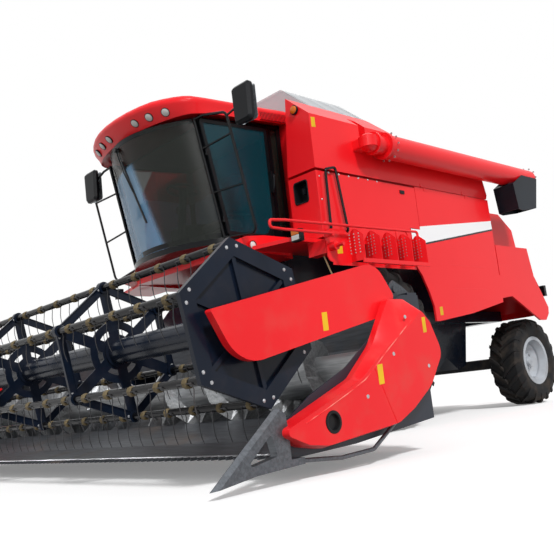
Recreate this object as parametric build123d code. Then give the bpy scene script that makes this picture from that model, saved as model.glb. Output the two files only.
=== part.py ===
from build123d import *
import os
from math import cos, hypot, pi, radians, sin, tan

# Combine harvester with a rigid grain header. Millimetres, +Z up, the machine
# faces -Y and +X is its left. Every piece is built with the front axle at y = 0
# and the ground at z = 0, then moved along Y so that the origin lies under the
# middle of the whole machine.

# ---------------------------------------------------------------- wheels
WHEELBASE = 3600
FRONT_WHEEL = dict(radius=899, width=650, rim=406, centre=1307, disc=60)
REAR_WHEEL = dict(radius=606, width=450, rim=305, centre=1150, disc=20)
KINGPIN_X = 850
KINGPIN_RADIUS = 45
STEER_LIMIT = 35
SPIGOT_RADIUS = 110
RUNNING_GAP = 0.05
SEAT_GAP = 0.3               # between a moving piece and what it rests on
CLEAR = 8                    # open gap beside anything that moves

# ---------------------------------------------------------------- body
BODY_HALF = 1600             # outside of the side panels
CORE_HALF = 780              # half width of the threshing body
SHEET = 6
PANEL = 24                   # a side panel with its folded rim
RAIL_BOTTOM = 1230
RAIL_HEIGHT = 150
RAIL_WIDTH = 80
RAIL_END = WHEELBASE + 100
HITCH_Z = 1010
HITCH_Y = RAIL_END + 130
HITCH_RADIUS = 16
DECK_Z = 2300                # roof of the threshing body, floor of the tank
SEAM_Z = 2790                # hinge line of the side panels
HINGE_X = BODY_HALF + 7
PANEL_HINGES = (1000, 1900)  # where the side panels' hinges start
TANK_FRONT = -820            # front of the wings beside the cab
TANK_NICHE = -490            # front wall behind the cab
WING_REAR_X = 1060           # inner face of a wing at the niche
WING_FRONT_X = (1190, 1283)  # inner face of a wing at its front, foot and top
TANK_REAR = 1250
TANK_TOP = 3655
TANK_FOLD = 3385             # where the side wall folds into the sloping shoulder
SHOULDER_X = BODY_HALF - 310 # upper edge of the shoulder
SHOULDER_REAR = 530
TANK_BACK = (3270, 3180)     # side wall beside the unloading tube, front and rear
COWL_REAR = 2520
COWL_TOP = 3075              # cowling side at its rear end
HOOD_TOP = 2780
EXHAUST = (760, 2050)        # (x, y) of the pipe
EXHAUST_RADIUS = 70
LID_KNEE = (SHOULDER_X - 390, 3990)  # (x, z) of the raised lids' upper edge
LID_SHEET = 12
LID_RIM = 40                 # width of the rim under the lids' long edges
LID_RANGE = (TANK_NICHE + SHEET + 4, SHOULDER_REAR - 20)
POCKET = (150, 115, 125)     # depth, length and height of the pocket beside the unloading elbow
HATCH = (1365, 2580, 190, 225)  # (x, z) middle, width and height of the hatch in the front panel
HATCH_DEPTH = 120

# ---------------------------------------------------------------- cab
CAB_HALF = 870
CAB_FLOOR = 2170
CAB_SIDE_TOP = 3430
CAB_REAR = -545
CAB_LEAN = 0.205             # forward lean of the front pillars
PILLAR_FOOT = -1480          # front pillar at the cab floor
PILLAR = 60
GLASS = 8
DOOR_LIMIT = 75
DOOR_REAR = -782             # rear edge of the door, short enough to swing clear of the tank's wing
QUARTER = 90                 # width of the fixed pane behind the door
DOOR_HINGE = (28, -2)        # axis out from the cab side, and from the pillar's front
DOOR_HINGES = (150, 850)     # heights of the two hinges over the cab floor
HINGE_RADIUS = 7
PLATFORM_Z = 2020
POD_X = 1100                 # outer face of the fairings under the cab
POD_LAMP = (-1360, 2035)     # (y, z) of the round lamp in them
ROOF_HALF = 985
ROOF_CREASE = 3545           # (z at the brow) side crease, shoulder and crown of the roof's section
ROOF_SHOULDER = 3605
ROOF_CROWN = 3650
ROOF_RISE = 0.117            # rise of the roof towards the rear
ROOF_FRONT = -2190
ROOF_BROW = 330              # depth of the curved brow
ROOF_LIP = 3535              # lower edge of the brow
LAMP_PLACES = [(330, 140), (560, 175), (770, 235)]  # x, and distance back from the brow
LAMP_RADIUS = 42

FRAME_X = 1335               # outer upright of the corner frames
MIRROR_LEFT = 1650           # middles of the two mirrors
MIRROR_RIGHT = -1250
MIRROR_Z = 3280
MIRROR_SIZE = (270, 385)

# ---------------------------------------------------------------- unloading auger
TUBE_RADIUS = 138
SLEEVE_RADIUS = 105
TUBE_X = BODY_HALF + 160
TUBE_Z = 3120
TUBE_PIVOT_Y = -90
TUBE_END = 3390
SWING_LIMIT = 95

# ---------------------------------------------------------------- header
HEADER_HALF = 3310           # inside of the end sheets
END_SHEET = 10
SHIELD_OUTSIDE = HEADER_HALF + 140
FEEDER_HALF = 620
FEEDER_PIVOT = (-860, 1640)  # (y, z) of the header lift hinge
FEEDER_DRUM = 285
LIFT_PIN = 50
AUGER_CENTRE = (-2230, 610)
AUGER_TUBE_RADIUS = 150
AUGER_RADIUS = 290
AUGER_PITCH = 600
FLIGHT_SECTORS = 16          # flat sectors in one turn of flighting
TROUGH_RADIUS = 320
TROUGH_BACK = -1860
TROUGH_TOP = 1150
KNIFE_Y = -3150
KNIFE_Z = 150
GUARD_PITCH = 76.2
SHIELD_HOLE = (-2964, 315)
REEL_CENTRE = (-3320, 963)
REEL_RADIUS = 500            # circle of the bats
REEL_PHASE = 100.6           # first corner, from +Y towards +Z
REEL_HALF = HEADER_HALF - 122
REEL_RIM = 36                # depth of the end plates' rim channel
REEL_TUBE_RADIUS = 95
REEL_SHAFT = 40
BAT_RADIUS = 27
BAT_COUNT = 6
TINE_LENGTH = 235
TINE_PITCH = 155
SPIDER_X = [-REEL_HALF * 0.48, REEL_HALF * 0.035, REEL_HALF * 0.515]
SPIDER_BAR = 70              # width of a spider's rim bars
SPIDER_ARM = 84
ARM_PIVOT = (-1950, 1180)
ARM_X = (REEL_HALF + 10, REEL_HALF + 52)  # inner and outer face of the left reel arm
REEL_LIFT = 22
COVER_X = (ARM_X[1] + 4, HEADER_HALF - 8)
DIVIDER_TIP = (-3877, 45)
CYLINDER_X = 520
CYLINDER_FOOT = (-190, 680)  # (y, z) of the barrel's pin
CYLINDER_EYE = (-1450, 590)  # (y, z) of the rod's pin
LADDER_X = (BODY_HALF + 150, BODY_HALF + 350)
LADDER_PIVOT = (-900, 1900)
LADDER_STEPS = 5
LADDER_FIRST_STEP = -640
LADDER_STEP_PITCH = 264
STEP_SHEET = 6

REAR_END = 4240              # tips of the rear lamp arms
SHIFT_Y = -(DIVIDER_TIP[0] + REAR_END) / 2

nodes = {}


# ---------------------------------------------------------------- small tools
def outline(corners):
    """Closed face of straight runs. A corner is (a, b), or (a, b, radius) where it is rounded."""
    turns = []
    for i, corner in enumerate(corners):
        here = Vector(*corner[:2])
        back = (Vector(*corners[i - 1][:2]) - here).normalized()
        ahead = (Vector(*corners[(i + 1) % len(corners)][:2]) - here).normalized()
        radius = corner[2] if len(corner) == 3 else 0
        if radius:
            half = radians(back.get_angle(ahead) / 2)
            middle = here + (back + ahead).normalized() * (radius / sin(half) - radius)
            turns.append([here + back * (radius / tan(half)), middle, here + ahead * (radius / tan(half))])
        else:
            turns.append([here])
    edges = []
    for i, turn in enumerate(turns):
        if len(turn) == 3:
            edges.append(ThreePointArc(*turn))
        edges.append(Line(turn[-1], turns[(i + 1) % len(turns)][0]))
    return make_face(edges)


def moved_edge(face, by):
    """The face with its whole outline moved out by a distance, or in where it is negative."""
    return offset(face, by, kind=Kind.INTERSECTION) if by else face


def slab(shape, x0, x1):
    """Side-view face or outline of (y, z) corners, as a plate from x0 to x1."""
    face = outline(shape) if isinstance(shape, list) else shape
    return Pos(x0, 0, 0) * extrude(Plane.YZ * face, x1 - x0)


def flat(shape, z0, z1):
    """Plan face or outline of (x, y) corners, as a plate from z0 to z1."""
    face = outline(shape) if isinstance(shape, list) else shape
    return Pos(0, 0, z0) * extrude(face, z1 - z0)


def front(shape, y0, y1):
    """Front-view face or outline of (x, z) corners, as a plate from y0 to y1."""
    face = outline(shape) if isinstance(shape, list) else shape
    return Pos(0, y0, 0) * extrude(Plane.XZ * face, -(y1 - y0))


def block(x, y, z):
    """Box given by its (low, high) pairs along X, Y and Z."""
    size = [pair[1] - pair[0] for pair in (x, y, z)]
    middle = [(pair[0] + pair[1]) / 2 for pair in (x, y, z)]
    return Pos(*middle) * Box(*size)


def rod(p, q, radius):
    """Round bar between two points."""
    start, end = Vector(*p), Vector(*q)
    plane = Plane(origin=start, z_dir=(end - start))
    return extrude(plane * Circle(radius), (end - start).length)


def pipe(points, radius, bend):
    """Bent round bar through the points, with one bend radius."""
    path = FilletPolyline(*points, radius=bend) if len(points) > 2 else Polyline(*points)
    start = path @ 0
    return sweep(Plane(origin=start, z_dir=path % 0) * Circle(radius), path=path)


def drum(x0, x1, y, z, radius):
    """Cylinder along X."""
    return rod((x0, y, z), (x1, y, z), radius)


def mirrored(shape):
    return mirror(shape, about=Plane.YZ)


def join(*shapes):
    """Fuse touching pieces, in one node."""
    result = shapes[0]
    for shape in shapes[1:]:
        result = result + shape
    return result


def both(shape):
    """The piece and its mirror image on the other side."""
    return join(shape, mirrored(shape))


def on_reel(angle, radius=REEL_RADIUS):
    """(y, z) of a point on the reel, with the angle from +Y towards +Z."""
    return (REEL_CENTRE[0] + radius * cos(radians(angle)), REEL_CENTRE[1] + radius * sin(radians(angle)))


REEL_ANGLES = [REEL_PHASE + 360 / BAT_COUNT * i for i in range(BAT_COUNT)]


# ---------------------------------------------------------------- wheels and axles
def tyre(wheel):
    """Closed tyre, revolved about the wheel's axis, at the origin along X."""
    half, outer, rim = wheel["width"] / 2, wheel["radius"], wheel["rim"]
    bead = half * 0.86
    shoulder = outer - 0.05 * outer
    right = [(bead, rim), (bead, rim + 25), (half, (rim + outer) / 2 - 10), (half * 0.97, shoulder), (half * 0.88, outer - 12)]
    crown = [(half * 0.7, outer), (-half * 0.7, outer)]
    left = [(-x, r) for x, r in reversed(right)]
    profile = make_face(Polyline(*right, *crown, *left, close=True))
    return revolve(profile, Axis.X)


def rim(wheel):
    """Rim barrel with a dished disc and a centre bore that fits the spigot."""
    rim_r, bead, disc = wheel["rim"], wheel["width"] / 2 * 0.86, wheel["disc"]
    lip = rim_r + 33
    wall = 14
    barrel = [
        (bead, rim_r), (bead, lip), (bead + 10, lip), (bead + 10, rim_r - wall),
        (bead * 0.6, rim_r - wall - 40), (-bead * 0.6, rim_r - wall - 40),
        (-bead - 10, rim_r - wall), (-bead - 10, lip), (-bead, lip), (-bead, rim_r),
        (-bead * 0.55, rim_r - 30), (bead * 0.55, rim_r - 30),
    ]
    plate = [
        (disc, SPIGOT_RADIUS + RUNNING_GAP), (disc + 16, SPIGOT_RADIUS + RUNNING_GAP), (disc + 16, rim_r * 0.55),
        (bead * 0.5, rim_r - wall - 25), (bead * 0.5 - 16, rim_r - wall - 25), (disc, rim_r * 0.57),
    ]
    shape = revolve(make_face(Polyline(*barrel, close=True)), Axis.X)
    shape = shape + revolve(make_face(Polyline(*plate, close=True)), Axis.X)
    return shape - revolve(make_face(Polyline((-bead * 0.5, rim_r), (bead * 0.5, rim_r), (bead * 0.45, rim_r + 1), (-bead * 0.45, rim_r + 1), close=True)), Axis.X)


def build_wheels():
    for name, wheel, y in (("front", FRONT_WHEEL, 0), ("rear", REAR_WHEEL, WHEELBASE)):
        place = Pos(wheel["centre"], y, wheel["radius"])
        rim_shape = rim(wheel)
        tyre_shape = tyre(wheel) - rim_shape
        for side in ("left", "right"):
            for part, shape in (("tyre", tyre_shape), ("rim", rim_shape)):
                placed = place * shape
                nodes[f"{name}_{part}_{side}"] = placed if side == "left" else mirrored(placed)


def build_front_axle():
    z = FRONT_WHEEL["radius"]
    disc = FRONT_WHEEL["centre"] + FRONT_WHEEL["disc"]
    beam = block((-900, 900), (-130, 130), (z - 150, z + 130))
    gearbox = drum(-240, 240, 0, z, 230)
    saddle = both(block((CORE_HALF - 160, CORE_HALF), (-150, 150), (z + 120, RAIL_BOTTOM)))
    hub = drum(880, disc, 0, z, 190) + drum(disc - 1, disc + 18, 0, z, SPIGOT_RADIUS)
    nodes["front_axle"] = join(beam, gearbox, saddle, both(hub))


def build_rear_axle():
    z = REAR_WHEEL["radius"]
    y = WHEELBASE
    top = z + 95
    beam = block((-KINGPIN_X + 110, KINGPIN_X - 110), (y - 75, y + 75), (z - 55, top))
    fork = block((KINGPIN_X - 112, KINGPIN_X + 45), (y - 45, y + 45), (top - 50, top))
    fork = fork + block((KINGPIN_X - 112, KINGPIN_X + 45), (y - 45, y + 45), (z - 95, z - 45))
    fork = fork + block((KINGPIN_X - 130, KINGPIN_X - 100), (y - 45, y + 45), (z - 95, top))
    fork = fork - rod((KINGPIN_X, y, z - 200), (KINGPIN_X, y, z + 200), KINGPIN_RADIUS - 20 + RUNNING_GAP)
    pivot = block((-110, 110), (y - 110, y + 110), (top - 5, 940))
    nodes["rear_axle"] = join(beam, both(fork), pivot)
    disc = REAR_WHEEL["centre"] + REAR_WHEEL["disc"]
    low, high = z - 45 + 0.3, top - 50 - 0.3
    body = rod((KINGPIN_X, y, low), (KINGPIN_X, y, high), KINGPIN_RADIUS)
    pin = rod((KINGPIN_X, y, z - 95), (KINGPIN_X, y, top), KINGPIN_RADIUS - 20)
    spindle = drum(KINGPIN_X, disc, y, z, 40) + drum(disc - 30, disc, y, z, 135) + drum(disc - 1, disc + 18, y, z, SPIGOT_RADIUS)
    arm = block((KINGPIN_X - 30, KINGPIN_X + 30), (y - 210, y - 20), (z - 20, z + 5))
    knuckle = join(body, pin, spindle, arm)
    nodes["steering_knuckle_left"] = knuckle
    nodes["steering_knuckle_right"] = mirrored(knuckle)


# ---------------------------------------------------------------- chassis and body
def build_chassis():
    rail_top = RAIL_BOTTOM + RAIL_HEIGHT
    rail = block((CORE_HALF, CORE_HALF + RAIL_WIDTH), (-560, RAIL_END), (RAIL_BOTTOM, rail_top))
    cross = block((-CORE_HALF, CORE_HALF), (RAIL_END - 220, RAIL_END), (RAIL_BOTTOM, rail_top))
    post = block((-150, 150), (RAIL_END - 220, RAIL_END), (940, RAIL_BOTTOM))
    jaw = flat([(-60, RAIL_END - 1), (60, RAIL_END - 1), (60, HITCH_Y + 60, 55), (-60, HITCH_Y + 60, 55)], HITCH_Z - 50, HITCH_Z + 50)
    jaw = jaw - block((-70, 70), (RAIL_END + 20, HITCH_Y + 70), (HITCH_Z - 25, HITCH_Z + 25))
    hitch = jaw - rod((0, HITCH_Y, HITCH_Z - 100), (0, HITCH_Y, HITCH_Z + 100), HITCH_RADIUS)
    y, z = FEEDER_PIVOT
    ear = slab([(-562, 1300), (-562, 1900), (y, z + 85), (y - 85, z + 30), (y - 85, z - 30), (y, z - 85)], FEEDER_HALF + 25, FEEDER_HALF + 85)
    ear = ear + block((FEEDER_HALF + 25, CORE_HALF + RAIL_WIDTH), (-592, -560), (RAIL_BOTTOM, 1900))
    ear = ear - drum(FEEDER_HALF, FEEDER_HALF + 100, y, z, LIFT_PIN + RUNNING_GAP)
    nodes["chassis_frame"] = join(both(join(rail, ear)), cross, post, hitch)
    lamp_arm = pipe([(1100, 3900, 1900), (1100, 3970, 1900), (1290, 4060, 1800), (1300, 4150, 1640), (1300, REAR_END - 30, 1630)], 16, 28)
    lamp = block((1240, 1360), (REAR_END - 60, REAR_END), (1540, 1700))
    nodes["rear_lamp_arms"] = both(lamp_arm + lamp)


def build_threshing_body():
    side = [
        (-560, 1230), (-560, 2060), (TANK_NICHE, 2060), (TANK_NICHE, DECK_Z), (2500, DECK_Z),
        (3260, 2060), (3260, 1420), (2850, 1235), (2700, 640), (2500, 590), (2250, 760), (2000, 590),
        (1500, 590), (1250, 760), (1050, 700), (960, 1230),
    ]
    nodes["threshing_body"] = slab(side, -CORE_HALF, CORE_HALF)


def tank_form(inset):
    """Outer form of the tank with its wings beside the cab, drawn in by inset all round."""
    section = outline([(-BODY_HALF, SEAM_Z), (BODY_HALF, SEAM_Z), (BODY_HALF, TANK_FOLD), (SHOULDER_X, TANK_TOP),
                       (-SHOULDER_X, TANK_TOP), (-BODY_HALF, TANK_FOLD)])
    side = outline([(TANK_FRONT, SEAM_Z), (TANK_FRONT, TANK_TOP), (SHOULDER_REAR, TANK_TOP, 40),
                    (SHOULDER_REAR + 80, TANK_BACK[0], 60), (TANK_REAR, TANK_BACK[1]), (TANK_REAR, SEAM_Z)])
    form = front(moved_edge(section, -inset), TANK_FRONT, TANK_REAR)
    niche = []
    for x, z in ((WING_FRONT_X[0], SEAM_Z), (WING_FRONT_X[1], TANK_TOP)):
        plan = outline([(-x, TANK_FRONT), (x, TANK_FRONT), (WING_REAR_X, TANK_NICHE), (-WING_REAR_X, TANK_NICHE)])
        niche.append(Pos(0, 0, z) * moved_edge(plan, inset))
    return (form & slab(moved_edge(side, -inset), -BODY_HALF, BODY_HALF)) - loft(niche, ruled=True)


def build_grain_tank():
    """Open bin around the back of the cab, with a hopper under it and a pocket beside the elbow."""
    pocket = block((BODY_HALF - POCKET[0], BODY_HALF), (TUBE_PIVOT_Y + 60, TUBE_PIVOT_Y + 60 + POCKET[1]), (TANK_FOLD - POCKET[2], TANK_TOP))
    tray = offset(pocket, SHEET, kind=Kind.INTERSECTION) & tank_form(0)
    lid_front, lid_rear = LID_RANGE
    rim = LID_SHEET + 8
    mouth = block((LID_RIM - SHOULDER_X, SHOULDER_X - LID_RIM), (lid_front + rim, lid_rear - rim), (TANK_TOP - SHEET, TANK_TOP))
    half = BODY_HALF - PANEL - 20
    hopper = front([(-BODY_HALF, SEAM_Z + SHEET), (BODY_HALF, SEAM_Z + SHEET), (BODY_HALF, SEAM_Z), (half, SEAM_Z),
                    (CORE_HALF, DECK_Z), (-CORE_HALF, DECK_Z), (-half, SEAM_Z), (-BODY_HALF, SEAM_Z)],
                   TANK_NICHE, TANK_REAR)
    hollow = front([(-half + 20, SEAM_Z + 50), (half - 20, SEAM_Z + 50), (half - 20, SEAM_Z + 1),
                    (CORE_HALF - 25, DECK_Z + 20), (-CORE_HALF + 25, DECK_Z + 20), (-half + 20, SEAM_Z + 1)],
                   TANK_NICHE + 20, TANK_REAR - 20)
    floor = block((-BODY_HALF, BODY_HALF), (TANK_NICHE + SHEET, TANK_REAR), (SEAM_Z, SEAM_Z + SHEET))
    nodes["grain_tank"] = join(tank_form(0) - tank_form(SHEET) - floor - mouth, tray) - pocket
    nodes["tank_hopper"] = hopper - hollow - nodes["grain_tank"]


def build_tank_lids():
    """Two lids that meet over the middle and lift outwards on their long edges."""
    x, knee_x, knee_z = SHOULDER_X, LID_KNEE[0], LID_KNEE[1]
    low = TANK_TOP + SEAT_GAP
    outer = [(CLEAR / 2, low), (x, low), (knee_x, knee_z, 60), (CLEAR / 2, knee_z)]
    inner = [(0, low - 1), (x - LID_RIM, low - 1), (knee_x - 8, knee_z - LID_SHEET, 50), (0, knee_z - LID_SHEET)]
    start, end = LID_RANGE
    lid = front(outer, start, end) - front(inner, start + LID_SHEET, end - LID_SHEET)
    nodes["tank_lid_left"] = lid
    nodes["tank_lid_right"] = mirrored(lid)


def build_engine_bay():
    nodes["engine_block"] = block((-450, 450), (1500, 2400), (DECK_Z, DECK_Z + 620))
    side = [
        (TANK_REAR, SEAM_Z), (TANK_REAR, TANK_BACK[1]), (COWL_REAR - 60, COWL_TOP, 60),
        (COWL_REAR, SEAM_Z + 60), (COWL_REAR - 30, SEAM_Z),
    ]
    sheet = slab(side, BODY_HALF - SHEET, BODY_HALF)
    deck = block((-BODY_HALF + SHEET, BODY_HALF - SHEET), (TANK_REAR, COWL_REAR - 40), (SEAM_Z, SEAM_Z + 30))
    deck = deck - block((-520, 520), (TANK_REAR + 60, COWL_REAR - 100), (0, 4000))
    legs = both(block((CORE_HALF - 40, CORE_HALF), (COWL_REAR - 160, COWL_REAR - 100), (DECK_Z, SEAM_Z + 1)))
    screen = block((-BODY_HALF + SHEET, -950), (TANK_REAR + 20, COWL_REAR - 250), (SEAM_Z - 1, SEAM_Z + 330))
    drum_screen = drum(-BODY_HALF - 30, -BODY_HALF + SHEET, 1780, SEAM_Z + 190, 150)
    top = slab([(TANK_REAR, TANK_BACK[1] - SHEET), (TANK_REAR, TANK_BACK[1]), (COWL_REAR - 90, COWL_TOP),
                (COWL_REAR - 90, COWL_TOP - SHEET)], -BODY_HALF, BODY_HALF)
    x, y = EXHAUST
    cowling = join(both(sheet), deck, legs, screen, drum_screen, top)
    nodes["engine_cowling"] = cowling - rod((x, y, SEAM_Z + 100), (x, y, TANK_TOP), EXHAUST_RADIUS + 0.3)
    nodes["exhaust_pipe"] = pipe([(x, y, SEAM_Z + 30), (x, y, 3700), (x, y + 200, 3780)], EXHAUST_RADIUS, 120)


def build_side_panels():
    """Gull-wing panels under the seam, notched round the front wheel, and the fixed front ones."""
    rear = [
        (885, SEAM_Z - CLEAR), (2520, SEAM_Z - CLEAR), (2520, 1395), (1760, 1250), (1034, 1160), (960, 1160), (960, 1330),
        (900, 1500), (800, 1700), (690, 1830), (690, 2250), (885, 2250),
    ]
    inside = BODY_HALF - PANEL
    face = slab(rear, inside, BODY_HALF)
    pocket = slab([(915, SEAM_Z - 40), (2490, SEAM_Z - 40), (2490, 1425), (1000, 1230), (980, 1500), (760, 1850),
                   (760, 2220), (915, 2220)], inside - 1, BODY_HALF - 4)
    panel = face - pocket
    for y in PANEL_HINGES:
        leaf = block((BODY_HALF - 5, BODY_HALF + 5), (y + 60.3, y + 120), (SEAM_Z - 45, SEAM_Z))
        panel = panel + rod((HINGE_X, y + 60.3, SEAM_Z), (HINGE_X, y + 120, SEAM_Z), HINGE_RADIUS) + leaf
        leaf = block((BODY_HALF - 2, BODY_HALF + 5), (y, y + 60), (SEAM_Z, SEAM_Z + 40))
        knuckle = rod((HINGE_X, y, SEAM_Z), (HINGE_X, y + 60, SEAM_Z), HINGE_RADIUS) + leaf
        carrier = "grain_tank" if y < TANK_REAR else "engine_cowling"
        nodes[carrier] = nodes[carrier] + both(knuckle)
    nodes["tank_hopper"] = nodes["tank_hopper"] - nodes["grain_tank"]
    nodes["side_panel_left"] = panel
    nodes["side_panel_right"] = mirrored(panel)
    fixed = slab([(TANK_FRONT, SEAM_Z - 30), (885 - CLEAR, SEAM_Z - 30), (885 - CLEAR, 2250 + CLEAR),
                  (TANK_FRONT, 2250 + CLEAR)], BODY_HALF - SHEET, BODY_HALF)
    fixed = fixed + slab([(TANK_FRONT, SEAM_Z - 30), (690 - CLEAR, SEAM_Z - 30), (690 - CLEAR, 2050), (TANK_FRONT, 2050)],
                         BODY_HALF - SHEET, BODY_HALF)
    inner_x, top = WING_FRONT_X[0], SEAM_Z - 30
    bulkhead = front([(inner_x, 2050), (BODY_HALF, 2050), (BODY_HALF, top), (inner_x, top)], TANK_FRONT, TANK_FRONT + SHEET)
    inner = slab([(TANK_FRONT, 2050), (TANK_FRONT, top), (TANK_FRONT + 300, top), (TANK_FRONT + 300, 2050)], inner_x, inner_x + SHEET)
    shelf = block((CORE_HALF, BODY_HALF), (-560, 690 - CLEAR), (2050, 2060))
    fender = shelf + block((CAB_HALF + 2, BODY_HALF), (TANK_FRONT, -560), (2050, 2060))
    x, z, width, height = HATCH
    opening = outline([(x - width / 2, z - height / 2, 30), (x + width / 2, z - height / 2, 30),
                       (x + width / 2, z + height / 2, 30), (x - width / 2, z + height / 2, 30)])
    tray = front(moved_edge(opening, SHEET), TANK_FRONT, TANK_FRONT + HATCH_DEPTH + SHEET)
    panels = both(join(fixed, bulkhead, inner, fender))
    nodes["front_side_panels"] = join(panels, tray) - front(opening, TANK_FRONT, TANK_FRONT + HATCH_DEPTH)


def build_rear_hood():
    """Hollow hood over the straw walkers, open below, and the flared chopper deflector."""
    outer = [(2560, 1760), (2560, 2500), (2700, HOOD_TOP), (3500, HOOD_TOP), (3820, 2560), (3900, 2150), (3900, 1800)]
    inner = [(2572, 1700), (2572, 2490), (2712, HOOD_TOP - 12), (3492, HOOD_TOP - 12), (3806, 2550), (3888, 2150), (3888, 1700)]
    hood = slab(outer, -1180, 1180) - slab(inner, -1168, 1168)
    hood = hood - nodes["threshing_body"]
    apron = both(slab([(2560, 1760), (2560, 2170), (3400, 2170), (3480, 1760)], 1180, BODY_HALF - 12))
    nodes["rear_hood"] = join(hood, apron - both(slab([(2572, 1700), (2572, 2158), (3390, 2158), (3468, 1700)], 1170, BODY_HALF - 24)))
    side = [(2530, 1760), (3490, 1760), (3760, 1330), (3740, 1240), (3640, 1150), (3480, 1150), (2800, 1480), (2530, 1450)]
    plate = both(slab(side, BODY_HALF - 40, BODY_HALF - 12))
    cross = slab([(3492, 1752), (3762, 1330), (3742, 1238), (3726, 1245), (3742, 1325), (3476, 1740)], -BODY_HALF + 14, BODY_HALF - 14)
    nodes["chopper_deflector"] = join(plate, cross)


# ---------------------------------------------------------------- cab
def lean(y, z):
    """Y of a point that starts at y on the cab floor and follows the pillars' lean."""
    return y - CAB_LEAN * (z - CAB_FLOOR)


def build_cab():
    top = CAB_SIDE_TOP
    half = CAB_HALF
    front_pillar = slab([
        (PILLAR_FOOT, CAB_FLOOR), (lean(PILLAR_FOOT, top), top), (lean(PILLAR_FOOT, top) + PILLAR, top),
        (PILLAR_FOOT + PILLAR, CAB_FLOOR)], half - PILLAR, half)
    rear_pillar = block((half - PILLAR, half), (CAB_REAR - PILLAR, CAB_REAR), (CAB_FLOOR, top + 110))
    sill = slab([(PILLAR_FOOT, CAB_FLOOR), (CAB_REAR, CAB_FLOOR), (CAB_REAR, CAB_FLOOR + 230),
                 (CAB_REAR - 240, CAB_FLOOR + 12), (PILLAR_FOOT, CAB_FLOOR + 12)], half - PILLAR, half)
    post_rear = CAB_REAR - PILLAR - QUARTER
    door_post = block((half - PILLAR, half), (DOOR_REAR - 25, post_rear), (CAB_FLOOR, top + 80))
    header_bar = slab([(lean(PILLAR_FOOT, top - 45), top - 45), (lean(PILLAR_FOOT, top), top), (CAB_REAR, top + 110),
                       (CAB_REAR, top + 60)], half - PILLAR, half)
    floor_edge = ThreePointArc((-half, PILLAR_FOOT), (0, PILLAR_FOOT - 340), (half, PILLAR_FOOT))
    floor_back = Polyline((half, PILLAR_FOOT), (half, CAB_REAR), (-half, CAB_REAR), (-half, PILLAR_FOOT))
    floor = Pos(0, 0, CAB_FLOOR - 60) * extrude(make_face(floor_edge + floor_back), 60)
    back = block((-half + PILLAR, half - PILLAR), (CAB_REAR - 12, CAB_REAR), (CAB_FLOOR, CAB_FLOOR + 560))
    frame = join(both(join(front_pillar, rear_pillar, sill, header_bar)), door_post, floor, back)
    for s in DOOR_HINGES:
        x, y, z = door_hinge(s + 15)
        frame = join(frame, rod(door_hinge(s), door_hinge(s + 30), 9), block((half - 5, x), (y - 8, y + 5), (z - 8, z + 8)))
    nodes["cab_frame"] = frame

    outer = ThreePointArc((-half + 70, PILLAR_FOOT), (0, PILLAR_FOOT - 320), (half - 70, PILLAR_FOOT))
    inner = ThreePointArc((-half + 70, PILLAR_FOOT + GLASS), (0, PILLAR_FOOT - 320 + GLASS), (half - 70, PILLAR_FOOT + GLASS))
    ends = [Line(outer @ 0, inner @ 0), Line(outer @ 1, inner @ 1)]
    screen_face = make_face([outer, inner] + ends)
    rise = top - CAB_FLOOR
    screen = extrude(Pos(0, 0, CAB_FLOOR) * screen_face, hypot(rise, rise * CAB_LEAN), dir=(0, -CAB_LEAN, 1))
    right = slab([
        (PILLAR_FOOT + PILLAR, CAB_FLOOR + 12), (lean(PILLAR_FOOT, top - 45) + PILLAR, top - 45),
        (CAB_REAR - PILLAR, top + 52), (CAB_REAR - PILLAR, CAB_FLOOR + 230 - 55), (CAB_REAR - 240, CAB_FLOOR + 12)],
        -half + 10, -half + 10 + GLASS)
    quarter = slab([(post_rear, CAB_FLOOR + 12), (post_rear, top + 80), (CAB_REAR - PILLAR, top + 80), (CAB_REAR - PILLAR, CAB_FLOOR + 12)],
                   half - 10 - GLASS, half - 10)
    rear = block((-half + PILLAR, half - PILLAR), (CAB_REAR - 12, CAB_REAR - 12 + GLASS), (CAB_FLOOR + 560, top + 90))
    nodes["cab_glass"] = join(screen - frame, right - frame, quarter - frame, rear - frame)

    nodes["cab_roof"] = cab_roof()

    seat = block((-250, 250), (-1000, -560 - 12), (CAB_FLOOR + 320, CAB_FLOOR + 440))
    seat = seat + slab([(-700, CAB_FLOOR + 430), (-620, CAB_FLOOR + 1080), (-560 - 12, CAB_FLOOR + 1080), (-560 - 12, CAB_FLOOR + 430)], -240, 240)
    seat = seat + block((-180, 180), (-930, -640), (CAB_FLOOR, CAB_FLOOR + 325))
    nodes["driver_seat"] = seat
    column_top = (0, -1330, CAB_FLOOR + 760)
    column = rod((0, -1450, CAB_FLOOR), column_top, 45)
    tilt = Plane(origin=column_top, z_dir=Vector(*column_top) - Vector(0, -1450, CAB_FLOOR))
    ring = revolve(Plane.XZ * Pos(180, 0) * RegularPolygon(15, 6), Axis.Z)
    wheel = tilt * (ring + Box(340, 30, 16) + Cylinder(48, 40))
    nodes["steering_column"] = join(column, wheel) - floor


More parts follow.
